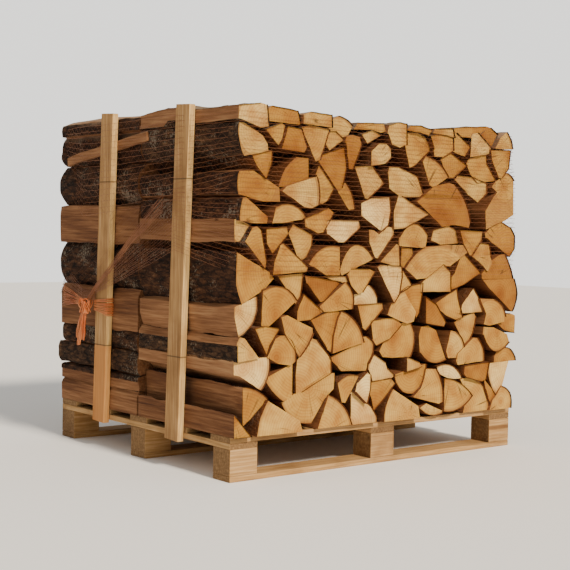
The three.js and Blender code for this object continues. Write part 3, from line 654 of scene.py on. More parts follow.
def cut_face(bm, corners, step):
    """Draw the cut face. Gives its middle, the heart and its reach, and the edges that carry bark."""
    ring = [bm.verts.new((p.x, -FACE, p.y)) for p in swollen(corners, SEAM)]
    bm.faces.new(ring)
    bmesh.ops.recalc_face_normals(bm, faces=bm.faces)
    middle = sum((v.co for v in ring), Vector()) / len(ring)
    heart, reach = heart_of(corners)
    has_round = any(len(c) > 2 for c in corners)
    pairs = [(ring[i], ring[(i + 1) % len(ring)], corners[i]) for i in range(len(ring))]
    winding = sum(a.co.x * b.co.z - b.co.x * a.co.z for a, b, c in pairs)
    bark_edges = []
    for start, end, corner in pairs:
        edge = bm.edges.get((start, end))
        chord = end.co - start.co
        outward = Vector((chord.z, 0, -chord.x)).normalized() * (1 if winding > 0 else -1)
        bulge = corner[2] * MM if len(corner) > 2 else 0.0
        centre = (start.co + end.co) / 2
        outer = not has_round and (centre - heart).length > FAR_SHARE * reach and chord.length > 0.03
        outer = outer and min(abs(start.co.x), abs(end.co.x)) < SAWN_OFF
        parts = stretch_points(start, end, edge, bulge, outward, step)
        if bulge or outer:
            bark_edges += parts
    return middle, heart, reach, bark_edges


def raise_rim(bm, bark_edges, middle, heart):
    """Grow a rim of bark outwards from the edges that carry it."""
    wood = list(bm.faces)
    rim = bmesh.ops.extrude_edge_only(bm, edges=bark_edges)["geom"]
    for v in [g for g in rim if isinstance(g, bmesh.types.BMVert)]:
        away = v.co - heart
        away = away.normalized() if away.length > 0.01 else (v.co - middle).normalized()
        v.co += away * (RIM + 0.0015 * noise.noise(v.co * 70))
    for face in bm.faces:
        if face not in wood:
            face.material_index = BARK_SLOT


# %% Length and sides
LENGTH = 0.519
LONGWAYS = 0.4              # an edge or a face that spans more of Y than this runs along the log
END_SLACK = 1e-4


def across(v):
    """Where a point lies across the log, to tell which points belong to one long edge."""
    return round(v.co.x, 6), round(v.co.z, 6)


def lengthen(bm, cuts):
    """Extrude the cut face to the log's length, choose each side's wood or bark, and divide the length."""
    open_edges = [e for e in bm.edges if len(e.link_faces) == 1]
    rim_edges = [e for e in open_edges if e.link_faces[0].material_index == BARK_SLOT]
    bark_places = {across(v) for e in rim_edges for v in e.verts}
    made = bmesh.ops.extrude_face_region(bm, geom=list(bm.faces))["geom"]
    for v in [g for g in made if isinstance(g, bmesh.types.BMVert)]:
        v.co.y += LENGTH
    for face in bm.faces:
        depths = [v.co.y for v in face.verts]
        if max(depths) - min(depths) > LONGWAYS:
            barked = {across(v) for v in face.verts} <= bark_places
            face.material_index = BARK_SLOT if barked else SPLIT_SLOT
        # painted shade: the ends between the rows lie in a narrow shaded gap, so they take the split wood's
        # darker tones
        elif min(depths) > LENGTH - FACE - END_SLACK:
            face.material_index = SPLIT_SLOT
    long_edges = [e for e in bm.edges if abs(e.verts[0].co.y - e.verts[1].co.y) > LONGWAYS]
    bmesh.ops.subdivide_edges(bm, edges=long_edges, cuts=cuts, use_grid_fill=True)


# %% Rough and crooked
STAGGER = 0.007             # logs stand out or in by this much at the cut face
INNER = 0.007               # how much the ends between the rows vary
BACK_SHORT = 0.022          # and the back row's outer ends
BACK_NUMBER = 200           # logs of the back row are numbered from here
GAP_SHADE_DEPTH = 0.14        # the painted gap shade thins out over this depth
POST_FACE, POST_LEAN, POST_LEAN_FROM = 0.6000, 0.011, 0.114
DECK_TOP = 0.1323
TOP_COURSE, HUMP_AT, HUMP_WIDE = 1.045, -0.165, 0.11


def side_limit(z):
    """How far from the middle the posts stand at a height: they lean outwards."""
    return POST_FACE + POST_LEAN * (z - POST_LEAN_FROM)


def rough_lift(spot, on_bark):
    """How far a side stands out at a point: broad waves along the log and fine ones on top."""
    if on_bark:
        broad = 0.0075 * noise.noise(Vector((spot.x * 30, spot.y * 12, spot.z * 30)))
        return broad + 0.0028 * noise.noise(spot * 80)
    broad = 0.0100 * noise.noise(Vector((spot.x * 17, spot.y * 4, spot.z * 17)))
    return broad + 0.0026 * noise.noise(Vector((spot.x * 70, spot.y * 7, spot.z * 70)))


def roughen(bm, number, middle, hump):
    """Roughen a log's sides, bend it, tilt and stagger its ends, and keep it off the posts and the deck."""
    swing = (hash_of(number, 1, 0) - 0.5, hash_of(number, 2, 0) - 0.5)
    tilt = (0.09 * (hash_of(number, 3, 0) - 0.5), 0.07 * (hash_of(number, 4, 0) - 0.5))
    shift = STAGGER * math.sin(2.4 * number)
    shorter = BACK_SHORT * hash_of(number, 6, 0) if number >= BACK_NUMBER else 0.0
    for v in bm.verts:
        deep = v.co.y + FACE
        away = Vector((v.co.x - middle.x, 0, v.co.z - middle.z))
        on_end = deep < END_SLACK
        on_bark = any(f.material_index == BARK_SLOT for f in v.link_faces)
        fade = min(1.0, deep / 0.05)
        spot = Vector((v.co.x, v.co.y, v.co.z)) + Vector((0, number * 3.1, 0))
        if away.length > END_SLACK:
            v.co += away.normalized() * rough_lift(spot, on_bark) * fade
        bend = deep * (LENGTH - deep) / LENGTH ** 2
        if hump and v.co.z > TOP_COURSE:
            v.co.z += hump * math.exp(-((v.co.y - HUMP_AT) / HUMP_WIDE) ** 2)
        v.co.x += 0.020 * swing[0] * bend
        v.co.z += 0.014 * swing[1] * bend
        if on_end:
            v.co.y += tilt[0] * (v.co.x - middle.x) + tilt[1] * (v.co.z - middle.z)
        v.co.y += shift * (1 - deep / LENGTH) - INNER * hash_of(number, 5, 0) * deep / LENGTH
        v.co.y += shorter * (1 - deep / LENGTH)
        limit = side_limit(v.co.z)
        v.co.x = max(-limit, min(limit, v.co.x))
        v.co.z = max(DECK_TOP, v.co.z)


# %% One log
SHARP = 0.6                 # an edge that turns by more radians than this is drawn sharp
OPEN_END, OPEN_TOP = 0.555, 1.03


def record_place(bm, tone, heart, reach):
    """Give each point its offset from the pith, the log's tone, and its share of the painted gap shade."""
    pith = bm.verts.layers.float_vector.new("pith")
    shade = bm.verts.layers.float.new("tone")
    gap_shade = bm.verts.layers.float.new("gap_shade")
    for v in bm.verts:
        v[pith] = (v.co.x - heart.x, v.co.z - heart.z, reach)
        v[shade] = tone
        # painted shade: points inside the stack, near the cut face, take the warm gap brown
        sheltered = abs(v.co.x) < OPEN_END and v.co.z < OPEN_TOP
        v[gap_shade] = 0.6 * max(0.0, 1 - (v.co.y + FACE) / GAP_SHADE_DEPTH) if sheltered else 0.0


def log_mesh(corners, number, fine, tone, hump=0.0):
    """A log as a mesh. A fine one shows its sides, so it has more points round it and along it."""
    bm = bmesh.new()
    middle, heart, reach, bark_edges = cut_face(bm, corners, 0.010 if fine else 0.020)
    if bark_edges:
        raise_rim(bm, bark_edges, middle, heart)
    lengthen(bm, 26 if fine else 3)
    record_place(bm, tone, heart, reach)
    roughen(bm, number, middle, hump)
    bmesh.ops.recalc_face_normals(bm, faces=bm.faces)
    # on a log with a hollow outline that can end inside out, which shows as a negative volume
    if bm.calc_volume(signed=True) < 0:
        bmesh.ops.reverse_faces(bm, faces=bm.faces)
    for edge in bm.edges:
        kinds = {f.material_index for f in edge.link_faces}
        edge.smooth = len(edge.link_faces) == 2 and edge.calc_face_angle(0) < SHARP and len(kinds) == 1
    for face in bm.faces:
        face.smooth = True
    return bm


# %% [markdown]
# ## Both rows
# The back row is hidden in use, so it is the front row's outlines turned by half a turn, with other numbers
# so that its logs are rough in other ways. Each log replaces the solid group that it lies in. A ray from in
# front of the row finds that group, which is simpler to keep right than a list of names.

# %% Names, tones and groups


def group_finder(row):
    """Rays that tell which solid log group lies behind a point of a row's cut face."""
    trees = []
    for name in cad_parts:
        if name.startswith(f"logs_{row}_"):
            mesh = bpy.data.objects[name].data
            faces = [p.vertices for p in mesh.polygons]
            trees.append((name, BVHTree.FromPolygons([v.co for v in mesh.vertices], faces)))
    sign = 1 if row == "front" else -1

    def find(x, z):
        hits = []
        for name, tree in trees:
            hit = tree.ray_cast(Vector((sign * x, -sign * 0.7, z)), Vector((0, sign, 0)))
            if hit[0]:
                hits.append((hit[3], name))
        return min(hits)[1] if hits else None
    return find


def row_logs(closing):
    """A row's logs with their names and numbers, from the bottom course up."""
    number = 0
    for course, parts in COURSES.items():
        for part in ("left", "centre", "right", closing):
            for i, corners in enumerate(parts[part]):
                yield f"{course}_{part}_{i + 1}", number, corners
                number += 1


def tone_of(name, number):
    """How pale a log is, from 0 to 1."""
    if name in ORANGE:
        return 0.10 + 0.1 * hash_of(number, 7, 0)
    if name in PALE:
        return 0.85 + 0.15 * hash_of(number, 7, 0)
    return 0.30 + 0.5 * hash_of(number, 7, 0)


# %% Both rows
HUMPED, HUMP = ("front", "top_left_2"), 0.016
SIDE_SHOWS, TOP_SHOWS = 0.555, 1.02

stood_for = set()
total = 0
for row, closing in (("front", "edge"), ("back", "far")):
    find = group_finder(row)
    for name, number, corners in row_logs(closing):
        flat = [Vector((c[0], 0, c[1])) * MM for c in corners]
        middle = sum(flat, Vector()) / len(flat)
        fine = max(abs(p.x) for p in flat) > SIDE_SHOWS or max(p.z for p in flat) > TOP_SHOWS
        hump = HUMP if (row, name) == HUMPED else 0.0
        own_number = number + (BACK_NUMBER if row == "back" else 0)
        bm = log_mesh(corners, own_number, fine, tone_of(name, number), hump)
        if row == "back":
            half_turn = Matrix.Rotation(math.pi, 3, "Z")
            bmesh.ops.rotate(bm, cent=(0, 0, 0), matrix=half_turn, verts=bm.verts)
        mesh = bpy.data.meshes.new(f"log_{row}_{name}")
        bm.to_mesh(mesh)
        total += len(bm.faces)
        bm.free()
        for finish in (SAWN, SPLIT, BARK):
            mesh.materials.append(finish)
        log = bpy.data.objects.new(f"log_{row}_{name}", mesh)
        bpy.context.collection.objects.link(log)
        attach(log, "root")
        group = find(middle.x, middle.z)
        if group:
            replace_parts(log, group)
            stood_for.add(group)
print("log faces:", total, "groups stood for:", len(stood_for))

# %% [markdown]
# ## The stick
# One thin split stick is pushed in between the bark logs of the left end. It rises towards the front row,
# behind the back post. It is a bar cut from a cube, stretched between its two ends and roughened.

# %% The stick
STICK_BACK, STICK_FRONT = Vector((-0.601, 0.468, 0.957)), Vector((-0.607, -0.052, 1.020))
STICK_THICK, STICK_TALL = 0.014, 0.030
STICK_TONE = 0.9

bm = bmesh.new()
bmesh.ops.create_cube(bm, size=1.0)
run = STICK_FRONT - STICK_BACK
bmesh.ops.scale(bm, vec=(STICK_THICK, run.length, STICK_TALL), verts=bm.verts)
lengthwise = [e for e in bm.edges if abs(e.verts[0].co.y - e.verts[1].co.y) > 0.1]
bmesh.ops.subdivide_edges(bm, edges=lengthwise, cuts=22, use_grid_fill=True)
bmesh.ops.bevel(bm, geom=[e for e in bm.edges if e.calc_face_angle(0) > 1], offset=0.002,
                offset_type="OFFSET", segments=1, profile=0.5, affect="EDGES", material=-1)
tone_layer = bm.verts.layers.float.new("tone")
for v in bm.verts:
    v[tone_layer] = STICK_TONE
    v.co.z += 0.006 * noise.noise(Vector((3, v.co.y * 9, 1)))
turned = run.to_track_quat("-Y", "Z").to_matrix()
bmesh.ops.rotate(bm, cent=(0, 0, 0), matrix=turned, verts=bm.verts)
bmesh.ops.translate(bm, vec=(STICK_BACK + STICK_FRONT) / 2, verts=bm.verts)
mesh = bpy.data.meshes.new("log_back_stick")
bm.to_mesh(mesh)
bm.free()
mesh.materials.append(SPLIT)
stick = bpy.data.objects.new("log_back_stick", mesh)
bpy.context.collection.objects.link(stick)
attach(stick, "root")
print("stick:", round(run.length, 3), "m long")

# %% [markdown]
# ## Sawn boards
# The pallet and the end posts are rough sawn softwood. Their streaks run along each board. One function
# makes the material with its noise stretched along X, Y or Z, which is simpler than turning a texture, and
# a board's short end gets a grain with no direction and darker tones: old end grain is darker, and the tones
# are also painted shade on the blocks' left faces. The posts' narrow edges are painted paler than their
# faces, which is painted light.

# %% Sawn softwood


def sawn_board(name, stretch, tones):
    """Rough sawn pine: pale yellow, streaked along the board, with darker knots and grey dirt."""
    made, tree, shader = new_material(name)
    place = add(tree, "TexCoord").outputs["Object"]
    along = add(tree, "VectorMath", {0: place, 1: stretch}, operation="MULTIPLY")
    fibre = add(tree, "TexNoise",
                {"Vector": along, "Scale": 1.0, "Detail": 5.0, "Roughness": 0.6})
    level = add(tree, "MapRange", {0: fibre, 1: 0.3, 2: 0.72})
    base = add(tree, "ValToRGB", {0: level})
    spread(base.color_ramp, tones)
    # knots are spaced 20 times as wide as the streaks
    knot_place = add(tree, "VectorMath", {0: place, 1: tuple(0.05 * s for s in stretch)},
                     operation="MULTIPLY")
    knots = add(tree, "TexVoronoi", {"Vector": knot_place, "Scale": 1.3})
    knotted = laid_over(tree, base.outputs[0], knots, (0.05, 0.09), (0.75, 0.0), "#6B4320")
    # dirt in patches about 140 mm across
    dirt = add(tree, "TexNoise", {"Vector": place, "Scale": 7.0, "Detail": 4.0})
    dirty = laid_over(tree, knotted, dirt, (0.5, 0.75), (0.0, 0.6), "#A08A6E", "MULTIPLY")
    surface(tree, shader, dirty, 0.8, 0.25, fibre, 0.5, 0.0012)
    return made


# Saw marks are about 1 mm apart: drawn 6 mm wide and 170 mm long so that they show
ACROSS, ALONG, END_GRAIN = 160.0, 6.0, 130.0
PINE = ["#8E6A3E", "#AE8756", "#C8A475"]
POST_PINE = ["#86623A", "#A67E4E", "#C09A6C"]
# painted light: the posts' narrow edges are painted paler than their faces
LIT_EDGE_PINE = ["#B28A54", "#D3AC70", "#E8C788"]
# end grain is darker with age, and these tones also serve as painted shade on the pallet blocks' left faces
END_AND_SHADE_PINE = ["#604529", "#7C5D3A", "#967750"]
ALONG_X = sawn_board("sawn pine along x", (ALONG, ACROSS, ACROSS), PINE)
END_GRAIN_AND_SHADE = sawn_board("pine end grain, aged and painted shade", (END_GRAIN, END_GRAIN, END_GRAIN), END_AND_SHADE_PINE)
ALONG_Y = sawn_board("sawn pine along y", (ACROSS, ALONG, ACROSS), PINE)
ALONG_Z = sawn_board("sawn pine upright", (ACROSS, ACROSS, ALONG), POST_PINE)
LIT_EDGE_Z = sawn_board("sawn pine upright, edge with painted light", (ACROSS, ACROSS, ALONG), LIT_EDGE_PINE)
print("pine materials: 5")

# %% Marks on the posts
STAIN_TOP = (0.340, 0.346)
DARK_LINES_AT, DARK_LINE_HALF = (0.345, 0.880), 0.0022


def mark_posts(made):
    """Two dark lines run round the posts, and the back posts have a warm stain below the lower line."""
    tree = made.node_tree
    shader = tree.nodes["Principled BSDF"]
    shade = shader.inputs["Base Color"].links[0].from_socket
    place = add(tree, "TexCoord").outputs["Object"]
    parts = add(tree, "SeparateXYZ", {0: place})
    back = add(tree, "Math", {0: parts.outputs[1], 1: 0.0}, operation="GREATER_THAN")
    height = parts.outputs[2]
    low = add(tree, "MapRange", {0: height, 1: STAIN_TOP[0], 2: STAIN_TOP[1], 3: 0.55, 4: 0.0})
    marks = [(add(tree, "Math", {0: low, 1: back}, operation="MULTIPLY"), "#C77F3C")]
    for level in DARK_LINES_AT:
        line = add(tree, "Math", {0: height, 1: level, 2: DARK_LINE_HALF}, operation="COMPARE")
        marks.append((add(tree, "Math", {0: line, 1: 0.65}, operation="MULTIPLY"), "#3B2A1C"))
    for share, tint in marks:
        shade = add(tree, "Mix", {0: share, 6: shade, 7: colour(tint)}, data_type="RGBA").outputs[2]
    tree.links.new(shade, shader.inputs["Base Color"])


for post_wood in (ALONG_Z, LIT_EDGE_Z):
    mark_posts(post_wood)
    print("marked:", post_wood.name)

# %% [markdown]
# ## Board shapes
# Every board starts as a cube scaled to its size, and the pallet's sizes are read from the solids. Years of
# use have rounded the edges, so they are bevelled, and noise moves the faces by half a millimetre, because
# a sawn board is never quite flat. Cuts across the length give that noise points to move.

# %% Board shapes
WEAR, OUT_OF_TRUE = 0.0018, 0.0005
GRAIN_END = 0.7             # a face whose normal follows the grain by more than this is an end


def board_mesh(size, cuts, seed):
    """A sawn board: a box with worn edges, cut across its length, and faces a little out of true."""
    bm = bmesh.new()
    bmesh.ops.create_cube(bm, size=1.0)
    bmesh.ops.scale(bm, vec=size, verts=bm.verts)
    bmesh.ops.bevel(bm, geom=bm.edges, offset=WEAR, offset_type="OFFSET", segments=2, profile=0.5,
                    affect="EDGES", material=-1)
    axis = max(range(3), key=lambda i: size[i])
    normal = Vector([1.0 if i == axis else 0.0 for i in range(3)])
    for k in range(1, cuts):
        at = normal * size[axis] * (k / cuts - 0.5)
        bmesh.ops.bisect_plane(bm, geom=list(bm.verts) + list(bm.edges) + list(bm.faces), dist=1e-6,
                               plane_co=at, plane_no=normal)
    for v in bm.verts:
        spot = v.co * 14 + Vector((seed * 5.3, seed * 1.7, 0))
        drift = noise.noise_vector(spot) * OUT_OF_TRUE
        drift[axis] = 0
        v.co += drift
    for face in bm.faces:
        face.smooth = False
    return bm


def second_finish(bm, axis):
    """Give the faces that look along an axis the piece's second material."""
    for face in bm.faces:
        face.material_index = 1 if abs(face.normal[axis]) > GRAIN_END else 0


def add_piece(name, bm, material, slot_name, *nodes):
    """Turn a bmesh into an object that rides on the load and stands for its solids."""
    mesh = bpy.data.meshes.new(name)
    bm.to_mesh(mesh)
    bm.free()
    mesh.materials.append(material)
    piece = bpy.data.objects.new(name, mesh)
    bpy.context.collection.objects.link(piece)
    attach(piece, "root")
    if nodes:
        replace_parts(piece, *nodes)
    return piece


# %% Pallet
PALLET_KINDS = ("bottom_board", "block", "stringer", "deck_board")
BOARD_GAP = 0.0004          # boards that touch are drawn this much smaller, so that no faces coincide

pallet_nodes = [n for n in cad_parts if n.startswith(PALLET_KINDS)]
for seed, node in enumerate(sorted(pallet_nodes)):
    low, high = (Vector(corner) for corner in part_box(node))
    size = high - low
    bm = board_mesh(tuple(s - BOARD_GAP for s in size), 12 if max(size) > 0.2 else 2, seed)
    bmesh.ops.translate(bm, vec=(low + high) / 2, verts=bm.verts)
    finish = ALONG_Y if size.y > size.x and not node.startswith("block") else ALONG_X
    # faces that look along the grain take the darker end grain: partly real age, partly painted shade on the
    # blocks' left faces
    second_finish(bm, 1 if finish is ALONG_Y else 0)
    add_piece(f"{node}_wood", bm, finish, "pallet_wood", node).data.materials.append(END_GRAIN_AND_SHADE)
print("pallet boards:", len(pallet_nodes))

# %% Posts
POST = {"thickness": 0.022, "width": 0.072, "bottom": 0.088, "top": 1.102,
        "lean_out": POST_LEAN, "lean_front": 0.055}
POST_SIDES = (("left", -1), ("right", 1))
POST_PLACES = (("front", -0.224), ("back", 0.215))
POST_FOOT, POST_GAP, POST_SEED = 0.6003, 0.0003, 40

for seed, (side, sign) in enumerate(POST_SIDES):
    for end, y in POST_PLACES:
        middle = (POST["top"] + POST["bottom"]) / 2
        height = POST["top"] - POST["bottom"]
        bm = board_mesh((POST["thickness"], POST["width"], height), 24, POST_SEED + seed)
        second_finish(bm, 1)
        lean = Matrix.Rotation(POST["lean_front"], 3, "X") @ Matrix.Rotation(sign * POST["lean_out"], 3, "Y")
        bmesh.ops.rotate(bm, cent=(0, 0, 0), matrix=lean, verts=bm.verts)
        face = POST_FOOT + POST["lean_out"] * (middle - POST["bottom"])
        place = (sign * (face + POST["thickness"] / 2 + POST_GAP),
                 y - POST["lean_front"] * (middle - POST["bottom"]), middle)
        bmesh.ops.translate(bm, vec=place, verts=bm.verts)
        post = add_piece(f"post_{side}_{end}_board", bm, ALONG_Z, "post_wood", f"post_{side}_{end}")
        # painted light: the faces that look along Y, the post's narrow edges, take the paler pine
        post.data.materials.append(LIT_EDGE_Z)
print("posts:", len(POST_SIDES) * len(POST_PLACES))

# %% [markdown]
# ## The netting
# Pallet netting is knitted from orange plastic tape: straight chains run round the load, and a finer thread
# zigzags between them. Each chain and each zigzag is a thin tube, drawn as one spline of a curve. The upper
# chains go right round. On the left end the lower ones are pulled down into a strand, which is tied round
# the back post, so a person could make the real thing by wrapping, gathering and knotting.

# %% Netting material


def netting(name, dark, pale):
    """Drawn polyethylene tape: orange, slightly glossy, faded by the weather in patches 70 mm across."""
    made, tree, shader = new_material(name)
    place = add(tree, "TexCoord").outputs["Object"]
    fade = add(tree, "TexNoise", {"Vector": place, "Scale": 14.0, "Detail": 2.0})
    tint = laid_over(tree, colour(dark), fade, (0.35, 0.7), (0.0, 1.0), pale)
    tree.links.new(tint, shader.inputs["Base Color"])
    shader.inputs["Roughness"].default_value = 0.45
    return made


# painted shade and light: the wrapped netting is painted darker, as if in shade, and the netting gathered at
# the back post is painted paler, as if in direct light
SHADED_NETTING = netting("orange polyethylene tape, painted shade", "#77401D", "#935C34")
LIT_NETTING = netting("orange polyethylene tape, painted light", "#B9581F", "#D08650")
print("materials:", SHADED_NETTING.name, "and", LIT_NETTING.name)

# %% [markdown]
# ## The net's paths
# A net hangs from the logs that it touches, so each chain's corners are drawn in to the logs at its height.
# Between corners a stretched strand runs straight and dips a little. Those two rules give every chain from
# one list of corners, which is shorter than drawing the chains one by one and keeps them evenly spaced.

# %% Route of the wrap
NET_LOW, NET_MID, NET_TOP = 0.600, 0.850, 1.068
# Corners of the wrap, seen from above, from the tie on the back left post round to the back left corner
TIE = Vector((-0.6395, 0.215))
ROUTE = [(-0.6375, -0.250), (-0.614, -0.5295), (0.611, -0.5295), (0.612, -0.340), (0.6375, -0.312),
         (0.6375, 0.226), (0.613, 0.262), (0.612, 0.5225), (-0.614, 0.5100), (-0.6385, 0.300)]
CORNER_Y = 0.5              # corners of the route beyond this are the load's own
BRIDGE_SLOPE = 0.3          # how steeply tape comes back in from a log that stands out
NET_CLEAR = 0.0035


def reach_at(z, parts):
    """How far from the middle a row's end stands at a height. Tape bridges the hollows between logs."""
    reach = 0.0
    for course in COURSES.values():
        for part in parts:
            for corners in course[part]:
                for a, b in zip(corners, corners[1:] + corners[:1]):
                    for t in (0.0, 0.25, 0.5, 0.75):
                        out = abs(a[0] + (b[0] - a[0]) * t) * MM
                        rise = abs((a[1] + (b[1] - a[1]) * t) * MM - z)
                        reach = max(reach, out - BRIDGE_SLOPE * rise)
    return min(reach, side_limit(z)) + NET_CLEAR


def drawn_in(point, z):
    """A corner of the wrap at a height: the four corners of the load follow its logs."""
    if abs(point.y) < CORNER_Y:
        return point
    if point.x * point.y > 0:
        return Vector((math.copysign(reach_at(z, ["left"]), point.x), point.y))
    closing = "edge" if point.y < 0 else "far"
    return Vector((math.copysign(reach_at(z, ["right", closing]), point.x), point.y))


# %% One chain
CHAIN_STEP, CHAIN_DIP = 0.02, 0.006


def chain_corners(share, lower):
    """A chain's corners from above and their heights. share runs from 0, the lowest chain, to 1."""
    if lower:
        # up from the tie, level round the load, and down the left end to the tie again
        front = NET_LOW + (NET_MID - NET_LOW) * share
        heights = [0.512 + 0.032 * share, 0.668 + 0.182 * share] + [front] * 7
        heights += [0.500 + 0.090 * share, 0.475 + 0.055 * share, 0.490 + 0.03 * share]
        return [TIE] + [Vector(p) for p in ROUTE] + [TIE], heights
    front = NET_MID + (NET_TOP - NET_MID) * share
    heights = [front - 0.05 * (1 - share)] + [front] * 8 + [front - 0.10 * (1 - share)]
    return [Vector(p) for p in ROUTE], heights


def chain_points(share, lower):
    """One chain's points. A lower chain ends at the tie and an upper one goes right round."""
    loose, heights = chain_corners(share, lower)
    flat = [drawn_in(corner, z) for corner, z in zip(loose, heights)]
    points = []
    count = len(flat)
    for i in range(count - 1 if lower else count):
        after = (i + 1) % count
        a, b = flat[i], flat[after]
        steps = max(2, round((loose[after] - loose[i]).length / CHAIN_STEP))
        for k in range(steps):
            t = k / steps
            dip = CHAIN_DIP * math.sin(math.pi * t) * (b - a).length
            xy = a.lerp(b, t)
            points.append(Vector((xy.x, xy.y, heights[i] + (heights[after] - heights[i]) * t - dip)))
    if lower:
        points.append(Vector((flat[-1].x, flat[-1].y, heights[-1])))
    return points


def wobble(points, seed, size):
    """Strands are never quite straight: move each point up or down a little."""
    for p in points:
        p.z += size * noise.noise(Vector((p.x * 5, p.y * 5, seed * 7.7)))
        p.z += 0.4 * size * noise.noise(Vector((p.x * 23, p.y * 23, seed * 3.1)))
    return points


# %% Strands


def strand_curve(name, paths, radius, closed, finish):
    """A curve object with one spline a path, each drawn as a thin four-sided tube."""
    data = bpy.data.curves.new(name, "CURVE")
    data.dimensions = "3D"
    data.bevel_depth = radius
    data.bevel_resolution = 0
    data.use_fill_caps = True
    for points, loop in zip(paths, closed):
        spline = data.splines.new("POLY")
        spline.points.add(len(points) - 1)
        for target, p in zip(spline.points, points):
            target.co = (p.x, p.y, p.z, 1.0)
        spline.use_cyclic_u = loop
    data.materials.append(finish)
    piece = bpy.data.objects.new(name, data)
    bpy.context.collection.objects.link(piece)
    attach(piece, "root")
    return piece


# %% Chains and zigzags
LOWER_CHAINS, UPPER_CHAINS = 17, 16
UPPER_SEED = 40
CHAIN_WOBBLE = 0.004
CHAIN_RADIUS, ZIGZAG_RADIUS = 0.00042, 0.00022

chains = []
for k in range(LOWER_CHAINS):
    chains.append(wobble(chain_points(k / (LOWER_CHAINS - 1), True), k, CHAIN_WOBBLE))
for k in range(UPPER_CHAINS):
    chains.append(wobble(chain_points((k + 1) / UPPER_CHAINS, False), k + UPPER_SEED, CHAIN_WOBBLE))
loops = [False] * LOWER_CHAINS + [True] * UPPER_CHAINS
net_chains = strand_curve("net_chains", chains, CHAIN_RADIUS, loops, SHADED_NETTING)
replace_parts(net_chains, "net_wrap")

zigzags = []
for first, second in zip(chains, chains[1:]):
    if len(first) == len(second):
        zigzags.append([(first if i % 2 else second)[i].copy() for i in range(len(first))])
strand_curve("net_zigzag", zigzags, ZIGZAG_RADIUS, [False] * len(zigzags), SHADED_NETTING)
print("chains:", len(chains), "zigzags:", len(zigzags))

# %% [markdown]
# ## Gathered, tied and loose netting
# Below the wrap the net is drawn together into a strand, looped over the back post, knotted, and fanned out
# again behind it, and its ends hang loose. Each is a bundle: a listed route, with strands side by
# side that noise moves apart, so one function draws the gather, the loop and the fan. The knot is one long
# strand on a closed figure, because a real knot's path can't be seen from outside.

# %% Bundles of strands


def bundle_paths(route, count, spread_at, seed, step=0.012):
    """Strands that follow a route side by side. spread_at is the bundle's half height at each point."""
    paths = []
    for k in range(count):
        share = 2 * k / (count - 1) - 1
        points = []
        legs = zip(zip(route, spread_at), zip(route[1:], spread_at[1:]))
        for (a, wide_a), (b, wide_b) in legs:
            a, b = Vector(a), Vector(b)
            steps = max(2, round((b - a).length / step))
            for i in range(steps):
                t = i / steps
                p = a.lerp(b, t)
                p.z += share * (wide_a + (wide_b - wide_a) * t)
                away = noise.noise_vector(Vector((p.y * 9, p.z * 9, seed + k * 1.3)))
                p += Vector((0.0015 * away.x, 0.004 * away.y, 0.006 * away.z))
                points.append(p)
        paths.append(points)
    return paths


# %% Gather
GATHER_RADIUS = 0.0008
gather_route = [(-0.6400, -0.190, 0.812), (-0.6405, -0.040, 0.716), (-0.6410, 0.060, 0.640),
                (-0.6410, 0.150, 0.576), (-0.6405, 0.215, 0.530), (-0.6440, 0.262, 0.482)]
gather = bundle_paths(gather_route, 12, [0.030, 0.016, 0.012, 0.010, 0.010, 0.009], 3)
gather_strands = strand_curve("net_gather_strands", gather, GATHER_RADIUS, [False] * len(gather), SHADED_NETTING)
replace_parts(gather_strands, "net_gather")
print("gather strands:", len(gather))

# %% Loop over the post
LOOP_RADIUS = 0.0013
band_route = [(-0.6050, 0.1535, 0.472), (-0.6300, 0.1540, 0.472), (-0.6320, 0.1600, 0.472),
              (-0.6320, 0.2280, 0.474), (-0.6290, 0.2340, 0.474), (-0.6060, 0.2345, 0.474)]
band = bundle_paths(band_route, 18, [0.026, 0.026, 0.024, 0.018, 0.016, 0.016], 9)
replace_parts(strand_curve("net_loop_strands", band, LOOP_RADIUS, [False] * len(band), LIT_NETTING), "net_loop")
print("loop strands:", len(band))

# %% Knot
KNOT_CENTRE = Vector((-0.646, 0.266, 0.470))
KNOT_SIZE = (0.016, 0.022, 0.024)
KNOT_POINTS, KNOT_RADIUS = 420, 0.0021

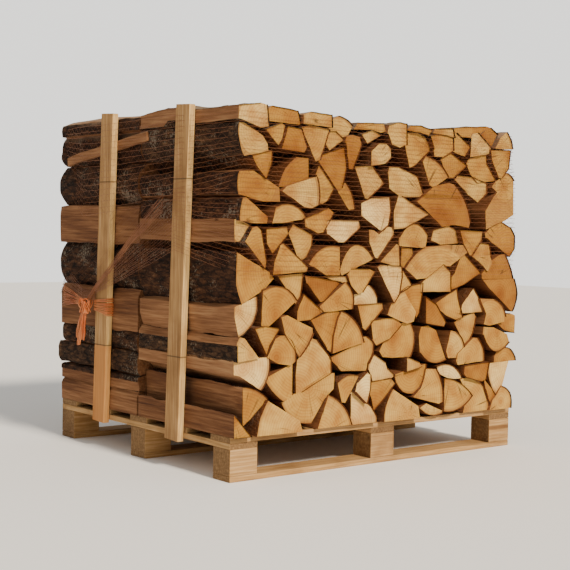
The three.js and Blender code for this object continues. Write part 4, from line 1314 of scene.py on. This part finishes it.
# one strand wound over itself, as a closed Lissajous path on a flattened ball
knot = []
for i in range(KNOT_POINTS):
    t = 2 * math.pi * i / KNOT_POINTS
    r = 0.72 + 0.28 * math.sin(17 * t)
    knot.append(Vector((KNOT_CENTRE.x + KNOT_SIZE[0] * r * math.sin(7 * t),
                        KNOT_CENTRE.y + KNOT_SIZE[1] * r * math.sin(11 * t + 0.7),
                        KNOT_CENTRE.z + KNOT_SIZE[2] * r * math.cos(13 * t))))
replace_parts(strand_curve("net_knot_strands", [knot], KNOT_RADIUS, [True], LIT_NETTING), "net_knot")
print("knot points:", len(knot))

# %% Fan
FAN_RADIUS = 0.0006
fan_route = [(-0.640, 0.285, 0.482), (-0.632, 0.370, 0.490), (-0.622, 0.450, 0.495), (-0.6060, 0.494, 0.500)]
fan = bundle_paths(fan_route, 22, [0.010, 0.020, 0.032, 0.040], 21)
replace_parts(strand_curve("net_fan_strands", fan, FAN_RADIUS, [False] * len(fan), LIT_NETTING), "net_fan")
print("fan strands:", len(fan))

# %% Tails
TAIL_RADIUS, TAIL_STRANDS, TAIL_STEPS = 0.0022, 5, 4
TAIL_SPACING = 0.003
tail_routes = [
    [(-0.648, 0.262, 0.455), (-0.652, 0.258, 0.420), (-0.650, 0.266, 0.380), (-0.648, 0.280, 0.350)],
    [(-0.648, 0.270, 0.455), (-0.655, 0.276, 0.415), (-0.653, 0.290, 0.370), (-0.650, 0.302, 0.328)],
    [(-0.646, 0.276, 0.455), (-0.650, 0.292, 0.425), (-0.650, 0.308, 0.390), (-0.646, 0.316, 0.352)]]

tails = []
for seed, route in enumerate(tail_routes):
    for k in range(TAIL_STRANDS):
        points = []
        for a, b in zip(route, route[1:]):
            for i in range(TAIL_STEPS):
                p = Vector(a).lerp(Vector(b), i / TAIL_STEPS)
                away = noise.noise_vector(Vector((p.z * 16, k * 2.1, seed * 5.0)))
                beside = TAIL_SPACING * (k - TAIL_STRANDS // 2)
                points.append(p + Vector((0.004 * away.x, 0.011 * away.y + beside, 0.003 * away.z)))
        tails.append(points)
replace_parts(strand_curve("net_tail_strands", tails, TAIL_RADIUS, [False] * len(tails), LIT_NETTING), "net_tails")
print("tail strands:", len(tails))
